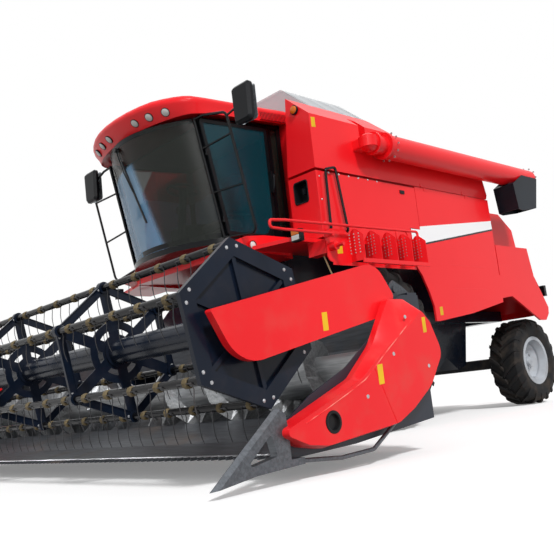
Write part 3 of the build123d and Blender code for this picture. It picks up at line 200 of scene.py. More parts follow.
# %% [markdown]
# The sheet metal is bright red gloss paint. The depth of such a red comes from its blue and
# green being almost nothing, so a pale sheen on top would turn it pink: the clear coat stays
# thin. Field dust settles low on the panels and thins out upwards, broken up by noise.

# %% Red paint
RED = (0.87, 0.010, 0.016)
DEEP_RED = (0.70, 0.005, 0.009)
DUST = (0.36, 0.27, 0.20)


def red_paint(name, marks=None):
    """Red gloss paint; marks may add printed bands or painted highlight streaks as (share, colour) pairs."""
    paint = Finish(name)
    cloud = paint.noise(0.9)
    dust = (1 - paint.z.ramp(0.1, 1.9)) * paint.noise(5.0, 5.0).ramp(0.45, 0.78) * 0.16
    colour = paint.mix(cloud.ramp(0.3, 0.7) * 0.30, RED, DEEP_RED)
    for share, tint in (marks(paint) if marks else []):
        colour = paint.mix(share, colour, tint)
    colour = paint.mix(dust, colour, DUST)
    peel = paint.noise(60.0, 1.0)
    return paint.close(Base_Color=colour, Roughness=0.34 + dust * 1.6 + cloud * 0.08,
                       Coat_Weight=0.14, Coat_Roughness=0.08, Specular_IOR_Level=0.25,
                       Normal=paint.bump(peel, 0.02, 0.002))


def painted_highlight_streaks(paint):
    """Pale streaks of painted highlight, where light catches a crease."""
    return [(paint.noise(9.0, 5.0).ramp(0.35, 0.65) * 0.8, (0.90, 0.30, 0.24))]


red = red_paint("red_paint")
# This red carries pale streaks of painted highlight; the shield ridges wear it.
highlight_red = red_paint("rubbed_red_paint", painted_highlight_streaks)
print("made", red.name)

# %% [markdown]
# Each upper side panel carries a white band with a thin black line under it, which widens
# towards the front and starts at the ladder. Its edges are straight lines in the side view,
# so the band is a test on y and z in the panel's own paint.

# %% Red paint with the white band
PANEL_FACE = 1.59       # the band shows outside this distance from the middle
BAND_START = 0.70       # behind the ladder, from the front axle
BLACK_LINE = 0.022      # the line under the band, measured upwards


def band_edge(paint, front_at, rear_at):
    """How far a point lies above the line through two (y, z) points."""
    (ya, za), (yb, zb) = front_at, rear_at
    slope = (zb - za) / (yb - ya)
    return paint.z - (za - slope * ya) - paint.y * slope


AXLE_Y = sum(corner[1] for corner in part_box("front_rim_left")) / 2      # front axle


def white_band(paint):
    top = band_edge(paint, (0.745 + AXLE_Y, 2.272), (2.528 + AXLE_Y, 2.495))
    foot = band_edge(paint, (0.92 + AXLE_Y, 2.091), (2.534 + AXLE_Y, 2.385))
    inside = (top < 0.0) * (paint.x.size() > PANEL_FACE) * (paint.y > BAND_START + AXLE_Y)
    return [(inside * (foot > -BLACK_LINE), (0.012, 0.012, 0.014)),
            (inside * (foot > 0.0), (0.88, 0.89, 0.90))]


banded_red = red_paint("red_paint_with_white_band", white_band)
print("axle at y =", round(AXLE_Y, 3))

# %% [markdown]
# The frame, reel and feeder house are a very dark blue, the small fittings black, and the
# axles painted iron. They share one recipe: a colour, how dull it is and how much dust it keeps.

# %% Dark paints and castings
def plain_paint(name, colour, rough=0.42, dusty=0.16, coat=0.08, metal=0.0, dust_top=2.4, shine=0.14):
    """Even paint, plastic or rubber; dust lies on it up to dust_top metres."""
    paint = Finish(name)
    dust = (1 - paint.z.ramp(0.0, dust_top)) * paint.noise(6.0, 5.0).ramp(0.40, 0.72) * dusty
    shade = tuple(v * 0.72 for v in colour)
    tint = paint.mix(dust, paint.mix(paint.noise(2.5).ramp(0.3, 0.7), colour, shade), DUST)
    return paint.close(Base_Color=tint, Roughness=rough + dust * 1.4, Coat_Weight=coat, Metallic=metal,
                       Coat_Roughness=0.06, Specular_IOR_Level=shine,
                       Normal=paint.bump(paint.noise(120.0, 1.0), 0.03, 0.002))


navy = plain_paint("navy_paint", (0.0055, 0.0105, 0.0230), 0.24, 0.03, 0.08)
black = plain_paint("black_paint", (0.0040, 0.0045, 0.0060), 0.22, 0.015, 0.08)
plastic = plain_paint("black_plastic", (0.0070, 0.0080, 0.0100), 0.36, 0.02, 0.03)
casting = plain_paint("painted_casting", (0.026, 0.029, 0.035), 0.5)
rim_silver = plain_paint("rim_silver", (0.44, 0.47, 0.51), 0.36, 0.18, 0.2, 0.15, 1.4)
rubber = plain_paint("tyre_rubber", (0.014, 0.014, 0.015), 0.66, 0.10, 0.0)
moulded_rubber = plain_paint("spout_rubber", (0.007, 0.011, 0.017), 0.45, 0.03, 0.1)
tan_plastic = plain_paint("tan_plastic", (0.175, 0.135, 0.072), 0.55, 0.10, 0.0)
sticker = plain_paint("yellow_film", (0.85, 0.52, 0.02), 0.42, 0.05, 0.1)
cream = plain_paint("cream_paint", (0.75, 0.62, 0.36), 0.4, 0.05, 0.2)
print("made the plain finishes")

# %% [markdown]
# Steel that the crop slides along is polished in one direction and blooms brown where it
# rests. Noise stretched along the machine's width makes the rub marks.

# %% Bare steel
BLOOM_BROWN = (0.16, 0.10, 0.06)
END_PAINT = (0.006, 0.010, 0.020)


def bare_steel(name, colour, rough=0.36, bloom_share=0.4, painted_from=None):
    """Worn steel; beyond painted_from metres to either side it is painted dark."""
    steel = Finish(name)
    rub = steel.noise(4.0, 6.0, 0.6, stretch=(1.0, 14.0, 14.0))
    bloom = steel.noise(2.2, 5.0).ramp(0.52, 0.78) * bloom_share
    worn = steel.mix(rub.ramp(0.3, 0.7), colour, tuple(v * 0.62 for v in colour))
    tint = steel.mix(bloom, worn, BLOOM_BROWN)
    metal = 0.72 - bloom * 0.6
    if painted_from:
        painted = steel.x.size() > painted_from
        tint, metal = steel.mix(painted, tint, END_PAINT), metal * (1 - painted)
    return steel.close(Base_Color=tint, Metallic=metal, Roughness=rough + rub * 0.2 + bloom * 0.3,
                       Normal=steel.bump(rub, 0.05, 0.002))


steel = bare_steel("crop_polished_steel", (0.085, 0.092, 0.105), painted_from=3.29)
divider_steel = bare_steel("divider_steel", (0.115, 0.125, 0.140), 0.30, 0.12)
auger_steel = bare_steel("auger_steel", (0.36, 0.37, 0.38), 0.34, 0.15)
wire_steel = bare_steel("wire_steel", (0.06, 0.06, 0.065), 0.4, 0.2)
bright_steel = bare_steel("bright_steel", (0.55, 0.56, 0.58), 0.25, 0.05)
print("made the steels")

# %% [markdown]
# Cab glass is tinted green-blue and lets part of the light through. Alpha stands for that
# share, because it keeps the panes light to render.

# %% Glass and clear plastic
def clear_sheet(name, tint, alpha, rough=0.24, sky=None):
    """Tinted sheet; sky is a pale blue patch of painted sky light, low down on the right."""
    glass = Finish(name)
    right = 1 - (glass.x + glass.z * 0.20).ramp(0.58, 0.68)
    low_down = 1 - (glass.z - glass.x * 0.10).ramp(3.14, 3.17)
    # The mix towards sky paints sky light into the glass's colour.
    colour = glass.mix(right * low_down, tint, sky or tint)
    return glass.close(Base_Color=colour, Roughness=rough, Specular_IOR_Level=0.3,
                       Alpha=alpha + glass.noise(1.5) * 0.04)


cab_glass = clear_sheet("cab_glass", (0.016, 0.020, 0.016), 0.50, sky=(0.20, 0.40, 0.62))
door_glass = clear_sheet("door_glass", (0.005, 0.055, 0.075), 0.52)
lens = clear_sheet("lamp_lens", (0.75, 0.76, 0.74), 0.85, rough=0.12)
amber = clear_sheet("amber_lens", (0.70, 0.16, 0.01), 0.92, rough=0.15)
red_lens = clear_sheet("red_lens", (0.55, 0.01, 0.01), 0.92, rough=0.15)
mirror_glass = bare_steel("mirror_glass", (0.52, 0.56, 0.60), 0.05, 0.0)
lid_plastic = clear_sheet("lid_plastic", (0.62, 0.65, 0.68), 0.62, rough=0.22)
print("made the clear finishes")

# %% [markdown]
# The driver's seat has woven cloth over foam. Two crossed waves at thread size make the weave,
# in colour and in height.

# %% Seat cloth
THREADS = 900.0         # radians of weave a metre, a thread each 7 mm


def seat_weave():
    cloth = Finish("seat_cloth")
    weave = (cloth.x * THREADS).sine() * (cloth.y * THREADS).sine() * 0.5 + 0.5
    fade = cloth.noise(14.0, 4.0).ramp(0.3, 0.7)
    ground_tint = cloth.mix(fade, (0.035, 0.038, 0.045), (0.055, 0.058, 0.066))
    tint = cloth.mix(weave, ground_tint, (0.085, 0.090, 0.10))
    return cloth.close(Base_Color=tint, Roughness=0.92, Sheen_Weight=0.3,
                       Normal=cloth.bump(weave, 0.25, 0.0006))


seat_cloth = seat_weave()
print("made", seat_cloth.name)

# %% [markdown]
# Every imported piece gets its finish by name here. Pieces that are built anew further down
# take theirs when they are made.

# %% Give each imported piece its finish
FINISHES = {
    red: ["grain_tank", "tank_hopper", "engine_cowling", "front_side_panels", "rear_hood",
          "chopper_deflector", "cab_roof", "platform", "unloading_stand", "side_shields",
          "reel_covers", "unloading_tube", "access_ladder"],
    banded_red: ["side_panel_left", "side_panel_right"],
    navy: ["chassis_frame", "threshing_body", "feeder_house", "reel_arms", "reel_frame",
           "reel_end_plates"],
    black: ["exhaust_pipe", "cab_frame", "handrails", "corner_frames", "rear_lamp_arms",
            "lift_cylinder_barrels"],
    plastic: ["steering_column", "mirrors", "cab_door_frame"],
    casting: ["front_axle", "rear_axle", "engine_block", "steering_knuckle_left",
              "steering_knuckle_right"],
    steel: ["header_trough", "cutter_bar"],
    auger_steel: ["intake_auger"],
    divider_steel: ["crop_dividers"],
    bright_steel: ["lift_cylinder_rods"],
    rim_silver: [f"{end}_rim_{side}" for end in ("front", "rear") for side in ("left", "right")],
    cab_glass: ["cab_glass"],
    door_glass: ["cab_door_glass"],
    lid_plastic: ["tank_lid_left", "tank_lid_right"],
    moulded_rubber: ["unloading_spout"],
}
for material, names in FINISHES.items():
    for name in names:
        nodes[name].data.materials.clear()
        nodes[name].data.materials.append(material)
missing = set(nodes) - {n for names in FINISHES.values() for n in names}
print("pieces still to be built anew:", sorted(missing))

# %% [markdown]
# New pieces are built point by point in a bmesh. Most of them are rings of points joined by
# faces: a bent bar, a turned knob and a folded plate only differ in where the rings lie. A
# piece keeps its place in its mesh, so its object stays at the origin.

# %% Mesh tools
SIDES = (("left", 1), ("right", -1))
UP = Vector((0, 0, 1))


def skin(shape, rings, loop=False):
    """Join closed rings of points with faces. A loop's last ring joins its first, else both are capped."""
    rows = [[shape.verts.new(p) for p in ring] for ring in rings]
    count = len(rows[0])
    for low, high in zip(rows, rows[1:] + rows[:1] if loop else rows[1:]):
        for i in range(count):
            j = (i + 1) % count
            shape.faces.new((low[i], low[j], high[j], high[i]))
    if not loop:
        shape.faces.new(list(reversed(rows[0])))
        shape.faces.new(rows[-1])


def box(shape, corner, opposite):
    """Block between two opposite corners."""
    (x0, x1), (y0, y1), (z0, z1) = (sorted(pair) for pair in zip(corner, opposite))
    skin(shape, [[(x0, y0, z), (x1, y0, z), (x1, y1, z), (x0, y1, z)] for z in (z0, z1)])


def tube(shape, points, radius, sides=8):
    """Round bar along a run of points."""
    points = [Vector(p) for p in points]
    rings, side = [], None
    for i, point in enumerate(points):
        ahead = (points[min(i + 1, len(points) - 1)] - points[max(i - 1, 0)]).normalized()
        if side is None:
            side = ahead.orthogonal().normalized()
        side = (side - ahead * side.dot(ahead)).normalized()
        up = ahead.cross(side)
        size = radius[i] if isinstance(radius, (list, tuple)) else radius
        turns = [2 * math.pi * k / sides for k in range(sides)]
        rings.append([point + side * (size * math.cos(t)) + up * (size * math.sin(t)) for t in turns])
    skin(shape, rings)


def turned(shape, centre, axis, profile, sides=24):
    """Solid of revolution: profile holds (along, radius) pairs about an axis through centre."""
    centre, axis = Vector(centre), Vector(axis).normalized()
    side = axis.orthogonal().normalized()
    up = axis.cross(side)
    turns = [2 * math.pi * k / sides for k in range(sides)]
    skin(shape, [[centre + axis * a + (side * math.cos(t) + up * math.sin(t)) * r for t in turns]
                 for a, r in profile])


def plate(shape, outline, thickness):
    """Flat plate: a run of corner points, pushed along the vector `thickness`."""
    push = Vector(thickness)
    skin(shape, [[Vector(p) for p in outline], [Vector(p) + push for p in outline]])


def spot(x, y, z):
    """A place with y counted from the front axle."""
    return Vector((x, y + AXLE_Y, z))


def middle_of(node):
    """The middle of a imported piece's box."""
    low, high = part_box(node)
    return (Vector(low) + Vector(high)) / 2


def rounded(half_width, half_height, corner):
    """Points round a rectangle with round corners, in its own plane."""
    points = []
    for qx, qy in ((1, 1), (-1, 1), (-1, -1), (1, -1)):
        for k in range(4):
            turn = math.atan2(qy, qx) - math.pi / 4 + math.pi / 2 * k / 3
            points.append((qx * (half_width - corner) + corner * math.cos(turn),
                           qy * (half_height - corner) + corner * math.sin(turn)))
    return points


def curve_points(corners, steps=6):
    """Smooth run through corner points, as a Catmull-Rom curve."""
    corners = [Vector(p) for p in corners]
    padded = [corners[0] * 2 - corners[1], *corners, corners[-1] * 2 - corners[-2]]
    run = []
    for a, b, c, d in zip(padded, padded[1:], padded[2:], padded[3:]):
        for k in range(steps):
            t = k / steps
            run.append(0.5 * (2 * b + (c - a) * t + (2 * a - 5 * b + 4 * c - d) * t * t
                              + (3 * b - a - 3 * c + d) * t * t * t))
    return run + [corners[-1]]


def mesh_from(name, shape, smooth=35):
    """Close a bmesh into a mesh with outward faces and shading that breaks at sharp edges."""
    bmesh.ops.recalc_face_normals(shape, faces=shape.faces)
    mesh = bpy.data.meshes.new(name)
    shape.to_mesh(mesh)
    shape.free()
    mesh.shade_smooth()
    mesh.set_sharp_from_angle(angle=math.radians(smooth))
    return mesh


def piece(name, shape, body, material, smooth=35, replaces=None):
    """Turn a bmesh or a mesh into a piece that rides on a body."""
    mesh = shape if isinstance(shape, bpy.types.Mesh) else mesh_from(name, shape, smooth)
    mesh.materials.clear()
    mesh.materials.append(material)
    made = bpy.data.objects.new(name, mesh)
    bpy.context.scene.collection.objects.link(made)
    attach(made, body)
    if replaces:
        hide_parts(*replaces)
    print(f"{name}: {len(mesh.polygons)} faces on {body}")
    return made


@cache
def surface(node):
    """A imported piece's faces, ready for straight lines to be tried against."""
    mesh = nodes[node].data
    return BVHTree.FromPolygons([v.co for v in mesh.vertices], [tuple(f.vertices) for f in mesh.polygons])


def touch(node, start, towards):
    """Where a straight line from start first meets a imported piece, and that face's normal."""
    towards = Vector(towards).normalized()
    place, normal, _, _ = surface(node).ray_cast(Vector(start), towards)
    if place is None:
        raise ValueError(f"no surface of {node} from {tuple(start)}")
    return place, normal if normal.dot(towards) < 0 else -normal


def lie_on(normal, towards):
    """Two directions that lie in a surface: the one nearest to `towards`, and the one across it."""
    along = (towards - normal * normal.dot(towards)).normalized()
    return along, along.cross(normal).normalized()


print("mesh tools ready")

# %% [markdown]
# Rows, rings and fields of one small shape come from two Geometry Nodes rules. `Repeat` places
# copies at start + step x index, each turned a little more about an axis: with no step that
# is a ring of bolts or lugs, with no turn a row of guards. `Field` fills a grid of columns and
# rows, for perforations.

# %% Geometry Nodes rules
class Rule(Tree):
    """A Geometry Nodes tree under construction, with named inputs."""

    def __init__(self, name, **sizes):
        super().__init__(bpy.data.node_groups.new(name, "GeometryNodeTree"))
        face = self.tree.interface
        face.new_socket("Geometry", in_out="OUTPUT", socket_type="NodeSocketGeometry")
        face.new_socket("Shape", in_out="INPUT", socket_type="NodeSocketGeometry")
        self.slots = {}
        for label, value in sizes.items():
            kind = {int: "Int", float: "Float", tuple: "Vector", type(None): "Material"}[type(value)]
            socket = face.new_socket(label, in_out="INPUT", socket_type=f"NodeSocket{kind}")
            if value is not None:
                socket.default_value = value
            self.slots[label] = socket.identifier
        self.start = self.tree.nodes.new("NodeGroupInput")

    def given(self, label):
        return Wire(self.tree, self.start.outputs[label])

    def stepped(self, start, *steps):
        """The place start + step x number, for named steps and the number of each."""
        place = self.given(start)
        for step, number in steps:
            place = self.vector("ADD", place, self.vector("MULTIPLY", self.given(step), number))
        return place

    def close(self, points, rotation):
        """Put the shape on the points, make it real and give it its material."""
        copies = self.node("GeometryNodeInstanceOnPoints", Points=points, Rotation=rotation,
                           Instance=self.given("Shape"))
        real = self.node("GeometryNodeRealizeInstances", Geometry=copies)
        self.end("NodeGroupOutput",
                 self.node("GeometryNodeSetMaterial", Geometry=real, Material=self.given("Finish")))


repeat_rule = Rule("repeat", Count=8, Start=(0.0, 0.0, 0.0), Step=(0.0, 0.0, 0.0),
                   Axis=(1.0, 0.0, 0.0), Turn=0.0, Finish=None)
index = repeat_rule.node("GeometryNodeInputIndex")
spots = repeat_rule.node("GeometryNodePoints", Count=repeat_rule.given("Count"),
                         Position=repeat_rule.stepped("Start", ("Step", index)))
turning = repeat_rule.node("FunctionNodeAxisAngleToRotation", Axis=repeat_rule.given("Axis"),
                           Angle=repeat_rule.given("Turn") * index)
repeat_rule.close(spots, turning)

field_rule = Rule("field", Columns=4, Rows=4, Start=(0.0, 0.0, 0.0), Across=(0.1, 0.0, 0.0),
                  Up=(0.0, 0.0, 0.1), Finish=None)
index = field_rule.node("GeometryNodeInputIndex")
columns = field_rule.given("Columns")
spots = field_rule.node("GeometryNodePoints", Count=columns * field_rule.given("Rows"),
                        Position=field_rule.stepped("Start", ("Across", index % columns),
                                                    ("Up", (index / columns).whole())))
field_rule.close(spots, (0.0, 0.0, 0.0))


def repeated(name, shape, rule, **values):
    """Run a rule on a shape and return the plain mesh it makes."""
    source = shape.copy() if isinstance(shape, bpy.types.Mesh) else mesh_from(name, shape)
    holder = bpy.data.objects.new(name, source)
    bpy.context.scene.collection.objects.link(holder)
    modifier = holder.modifiers.new("rule", "NODES")
    modifier.node_group = rule.tree
    for label, value in values.items():
        modifier[rule.slots[label]] = value
    depsgraph = bpy.context.evaluated_depsgraph_get()
    made = bpy.data.meshes.new_from_object(holder.evaluated_get(depsgraph))
    holder.modifiers.clear()
    bpy.data.objects.remove(holder)
    made.name = name
    return made


def row_of(name, shape, count, start, step, finish):
    """Copies of a shape in a straight row."""
    return repeated(name, shape, repeat_rule, Count=count, Start=tuple(start), Step=tuple(step),
                    Finish=finish)


def ring_of(name, shape, count, centre, axis, finish):
    """Copies of a shape all round an axis through centre."""
    return repeated(name, shape, repeat_rule, Count=count, Start=tuple(centre), Axis=axis,
                    Turn=2 * math.pi / count, Finish=finish)


def joined(name, meshes):
    """Several meshes as one, for a body that carries the same thing in several places."""
    shape = bmesh.new()
    for mesh in meshes:
        shape.from_mesh(mesh)
    made = bpy.data.meshes.new(name)
    shape.to_mesh(made)
    shape.free()
    made.shade_smooth()
    made.set_sharp_from_angle(angle=math.radians(35))
    return made


print("rules ready")

# %% [markdown]
# A drive tyre has a smooth carcass under curved rubber lugs. The carcass is a section turned
# about the axle. One lug is a bar swept from the middle of the tread over the shoulder, and
# the Repeat rule sets a ring of them on each half, the two halves half a pitch apart.

# %% Lugged tyres
AROUND = 72             # steps round a carcass
BEAD_DEPTH = 0.033      # how far the tyre's bead lies inside the rim's edge
X_AXIS, Y_AXIS = (1.0, 0.0, 0.0), (0.0, 1.0, 0.0)


def carcass_section(half, inner, crown):
    """(along the axle, radius) points round one side of the tyre and back along the other."""
    side = [(0.86, inner + 0.002), (0.88, inner + 0.035), (0.95, inner + 0.09),
            (1.0, (inner + crown) / 2 + 0.02), (0.985, crown - 0.10), (0.93, crown - 0.035),
            (0.82, crown - 0.008), (0.5, crown), (0.2, crown + 0.004)]
    return [(-a * half, r) for a, r in side] + [(a * half, r) for a, r in reversed(side)]


def lug_shape(way, half, crown, outer, offset, sweep):
    """One lug, from the middle of the tread to the shoulder on one side."""
    rings = []
    for t in (0.0, 0.2, 0.45, 0.7, 0.88, 1.0):
        along = way * half * (-0.03 + 1.02 * t)
        foot = crown - 0.012 - 0.12 * max(0.0, t - 0.7) / 0.3
        top = outer - 0.001 - 0.006 * t - 0.085 * max(0.0, t - 0.85) / 0.15
        turn = offset - sweep * t ** 0.8
        wide, narrow = 0.034 / outer, (0.020 + 0.006 * t) / outer
        rings.append([Vector((along, r * math.cos(turn + w), r * math.sin(turn + w)))
                      for r, w in ((foot, -wide), (foot, wide), (top, narrow), (top, -narrow))])
    shape = bmesh.new()
    skin(shape, rings)
    return shape


def tyre(name, lugs, lug_height, sweep):
    """Carcass and lugs of one tyre as a mesh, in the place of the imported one."""
    low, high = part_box(name)
    rim_low, rim_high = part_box(name.replace("tyre", "rim"))
    centre = middle_of(name)
    half, outer = (high[0] - low[0]) / 2, (high[2] - low[2]) / 2
    crown = outer - lug_height
    section = carcass_section(half, (rim_high[2] - rim_low[2]) / 2 - BEAD_DEPTH, crown)
    turns = [2 * math.pi * k / AROUND for k in range(AROUND)]
    shape = bmesh.new()
    skin(shape, [[centre + Vector((a, r * math.cos(turn), r * math.sin(turn))) for a, r in section]
                 for turn in turns], loop=True)
    parts = [mesh_from(name + "_carcass", shape, 50)]
    for way, offset in ((1, 0.0), (-1, math.pi / lugs)):
        lug = lug_shape(way, half, crown, outer, offset, sweep)
        parts.append(ring_of(name + "_lugs", lug, lugs, centre, X_AXIS, rubber))
    return joined(name, parts)


for end, lugs, height, sweep in (("front", 22, 0.050, 0.30), ("rear", 20, 0.038, 0.34)):
    for side, way in SIDES:
        name = f"{end}_tyre_{side}"
        piece(f"lugged_{name}", tyre(name, lugs, height, sweep), f"{end}_wheel_{side}", rubber,
              replaces=[name])

# %% [markdown]
# Each rim is bolted on by a ring of wheel bolts round a domed hub cap, and carries a valve.

# %% Wheel bolts and hub caps
WHEEL_BOLTS = 10


def bolt_shape(radius, height, along=X_AXIS, at=(0.0, 0.0, 0.0)):
    """Hexagon head on a washer, standing along an axis."""
    shape = bmesh.new()
    turned(shape, at, along, [(0.0, radius * 1.35), (height * 0.25, radius * 1.35)], 10)
    turned(shape, at, along, [(height * 0.2, radius), (height * 0.85, radius), (height, radius * 0.8)], 6)
    return shape


# Each end's hub face from the rim's middle, radius of its ring of bolts, and radius of its cap.
for end, face, ring, cap in (("front", 0.076, 0.165, 0.15), ("rear", 0.036, 0.145, 0.105)):
    for side, way in SIDES:
        middle = middle_of(f"{end}_rim_{side}")
        hub = middle + Vector((way * face, 0, 0))
        bolts = ring_of("bolts", bolt_shape(0.014, 0.024, (way, 0, 0), (0, ring, 0)), WHEEL_BOLTS, hub,
                        X_AXIS, bright_steel)
        dome = bmesh.new()
        turned(dome, hub, (way, 0, 0), [(0.001, cap), (0.02, cap), (0.03, cap * 0.93), (0.032, cap * 0.7),
                                        (0.055, cap * 0.62), (0.075, cap * 0.5), (0.082, cap * 0.2)], 28)
        tube(dome, [middle + Vector((way * 0.10, 0.02, -ring * 1.6)),
                    middle + Vector((way * 0.15, 0.02, -ring * 1.62))], 0.006)
        body = f"{end}_wheel_{side}"
        piece(f"{end}_hub_cap_{side}", dome, body, rim_silver)
        piece(f"{end}_wheel_bolts_{side}", bolts, body, bright_steel)

# %% [markdown]
# The reel's six bats hang their spring tines straight down whatever the reel does. A tine is
# a pair of bent wires that leaves a tan clamp on the tube. Clamps and wires are one small
# shape each, set in rows between the spiders by the Repeat rule.

# %% Bats with spring tines
TINE_PITCH = 0.302      # from one clamp to the next
WIRE_OFFSET = 0.075     # each of a clamp's two wires, to either side
REEL_HALF = 3.188
SPIDERS = (-REEL_HALF * 0.48, REEL_HALF * 0.035, REEL_HALF * 0.515)


def tine_runs():
    """(first x, count) of each run of tines that no spider breaks."""
    reach = int((REEL_HALF - 0.08) / TINE_PITCH)
    runs = [[]]
    for x in (k * TINE_PITCH for k in range(-reach, reach + 1)):
        if min(abs(x - s) for s in SPIDERS) > 0.06:
            runs[-1].append(x)
        elif runs[-1]:
            runs.append([])
    return [(run[0], len(run)) for run in runs if run]


def spring_wires(radius):
    """Two bent wires that leave the clamp side by side, from a coil under the tube."""
    shape = bmesh.new()
    for x in (-WIRE_OFFSET, WIRE_OFFSET):
        leg = [(x, -radius - 0.004, -0.008), (x, -0.018, -0.045), (x, -0.024, -0.105), (x, -0.016, -0.175),
               (x, 0.004, -0.228)]
        tube(shape, curve_points(leg, 2), [0.0030] * 8 + [0.0022], 4)
        tube(shape, [leg[0], (x * 0.15, -radius - 0.005, -0.006)], 0.0045, 5)
    return shape


def clamp(radius):
    """Moulded clamp: a rounded saddle on the tube with a lip under it."""
    half, reach = 0.023, radius + 0.007
    turns = [math.radians(20 + 40 * k) for k in range(9)]
    section = [(reach * math.cos(a) * 1.05 - 0.004, reach * math.sin(a) - 0.003) for a in turns]
    shape = bmesh.new()
    skin(shape, [[Vector((half * share, y * grow, z * grow)) for y, z in section]
                 for share, grow in ((-1, 0.84), (-0.75, 1.0), (0.75, 1.0), (1, 0.84))])
    return shape


def bat_tube(number):
    """Middle and radius of a bat's tube."""
    low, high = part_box(f"reel_bat_{number}")
    radius = (high[1] - low[1]) / 2
    return Vector((0, (low[1] + high[1]) / 2, high[2] - radius)), radius


for number in range(1, 7):
    name, body = f"reel_bat_{number}", f"bat_{number}"
    axis, radius = bat_tube(number)
    bar = bmesh.new()
    turned(bar, axis, X_AXIS, [(corner[0], radius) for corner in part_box(name)], 14)
    piece(f"bat_tube_{number}", bar, body, black, replaces=[name])
    wires, clamps = [], []
    for first, count in tine_runs():
        place = (count, (first, axis.y, axis.z), (TINE_PITCH, 0.0, 0.0))
        wires.append(row_of("wires", spring_wires(radius), *place, wire_steel))
        clamps.append(row_of("clamps", clamp(radius), *place, tan_plastic))
    piece(f"bat_tines_{number}", joined("tines", wires), body, wire_steel)
    piece(f"bat_clamps_{number}", joined("clamps", clamps), body, tan_plastic)

# %% [markdown]
# Bolts hold the spiders' corner bearings and the end plates' rims. They stand in rings about
# the reel's shaft, two to each face of a plate, a little to either side of its corners.

# %% Reel bolts
CORNER_SWING = 0.085    # radians from a corner to its bolts

shaft = middle_of("reel_end_plates")
corner = bat_tube(1)[0] - Vector((0, shaft.y, shaft.z))
rings = []
for way in (1, -1):
    # Each plate's face, its bolts' share of the way out to the corner, and their height.
    faces = [(s + way * 0.003, 0.985, 0.012) for s in SPIDERS] + [(way * (REEL_HALF - 0.001), 0.96, 0.006)]
    for x, share, tall in faces:
        for swing in (-CORNER_SWING, CORNER_SWING):
            at = Matrix.Rotation(swing, 3, "X") @ (corner * share)
            bolt = bolt_shape(0.009, tall, (way, 0, 0), at)
            rings.append(ring_of("bolts", bolt, 6, (x, shaft.y, shaft.z), X_AXIS, bright_steel))
piece("reel_bolts", joined("reel_bolts", rings), "reel", bright_steel)

# %% [markdown]
# The knife is a row of riveted triangular sections that slides between the guards. One
# section is a thin bevelled blade, repeated at the guards' pitch.

# %% Knife sections
GUARD_PITCH = 0.0762
BLADE_TOP, BLADE_TIP, BLADE_EDGE = 0.0035, -0.062, 0.008

bar_low, bar_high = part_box("cutter_bar")
blade = bmesh.new()
skin(blade, [[(-wide, BLADE_EDGE, z), (wide, BLADE_EDGE, z), (narrow, tip, z), (-narrow, tip, z)]
             for z, wide, narrow, tip in ((0, 0.036, 0.008, BLADE_TIP),
                                          (BLADE_TOP, 0.034, 0.005, BLADE_TIP + 0.004))])
sections = int((bar_high[0] - bar_low[0] - 0.10) / GUARD_PITCH)
first = (-(sections - 1) / 2 * GUARD_PITCH, bar_high[1] - 0.045, bar_high[2] - 0.0005)
knife = row_of("knife", blade, sections, first, (GUARD_PITCH, 0.0, 0.0), bright_steel)
piece("knife_sections", knife, "header", bright_steel)

# %% [markdown]
# Between the two flights the auger carries retracting fingers. They leave bolted plastic
# guides in a staggered pattern, so each row is a spiral: a step along and a turn about the axis.

# %% Auger fingers
AUGER_TUBE = 0.150

auger_axis = middle_of("intake_auger")
finger = bmesh.new()
turned(finger, (0, 0, 0), UP, [(AUGER_TUBE - 0.004, 0.028), (AUGER_TUBE + 0.008, 0.026),
                               (AUGER_TUBE + 0.012, 0.016)], 10)
turned(finger, (0, 0, 0), UP, [(AUGER_TUBE, 0.008), (0.282, 0.008), (0.286, 0.005)], 8)
fingers = repeated("fingers", finger, repeat_rule, Count=10, Start=(-0.50, auger_axis.y, auger_axis.z),
                   Step=(0.111, 0.0, 0.0), Turn=math.radians(97), Axis=X_AXIS, Finish=bright_steel)
piece("auger_fingers", fingers, "auger", bright_steel)

# %% [markdown]
# The red shield at each end of the header has a rubber-lined inspection hole and quarter-turn
# latches. The hole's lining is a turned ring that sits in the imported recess.

# %% Shield fittings
SHIELD_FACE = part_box("side_shields")[1][0]
LATCHES = ((-2.62, 0.44), (-2.30, 0.70), (-1.92, 0.60), (-2.12, 0.95))      # (y, z)

lining, latches = bmesh.new(), bmesh.new()
for way in (1, -1):
    turned(lining, spot(way * SHIELD_FACE, -2.964, 0.315), (way, 0, 0),
           [(-0.0215, 0.069), (0.004, 0.069), (0.006, 0.060), (0.003, 0.052), (-0.019, 0.050)], 32)
    for y, z in LATCHES:
        turned(latches, spot(way * (SHIELD_FACE - 0.0005), y, z), (way, 0, 0),
               [(0.0, 0.014), (0.003, 0.013), (0.0045, 0.008)], 12)
piece("inspection_hole_lining", lining, "header", plastic)
piece("shield_latches", latches, "header", bright_steel)

# %% [markdown]
# Plain yellow film patches mark the points where hands stay away. They carry no print, and
# lean a little with the sheet under them.

# %% Yellow patches
FILM = 0.0008           # thickness
PATCHES = (             # body, side face's x, lower front corner and upper rear corner as (y, z)
    ("header", SHIELD_FACE, (-2.49, 0.505), (-2.435, 0.635)),
    ("header", SHIELD_FACE, (-1.93, 0.835), (-1.89, 0.945)),
    ("reel_lift_arms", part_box("reel_covers")[1][0], (-2.800, 0.885), (-2.750, 1.005)),
    ("chassis", 1.6, (-0.795, 3.235), (-0.735, 3.345)),
    ("ladder", 1.762, (-0.815, 1.835), (-0.735, 1.945)),
    ("panel_left", 1.6, (1.05, 1.225), (1.11, 1.325)),
)
film = {body: bmesh.new() for body, *_ in PATCHES}
for body, x, (y0, z0), (y1, z1) in PATCHES:
    lean = 0.10 * (y1 - y0)
    plate(film[body], [spot(x, y0, z0), spot(x, y1, z0 + lean), spot(x, y1, z1 + lean), spot(x, y0, z1)],
          (FILM, 0, 0))
for body, shape in film.items():
    piece(f"yellow_patch_{body}", shape, body, sticker)

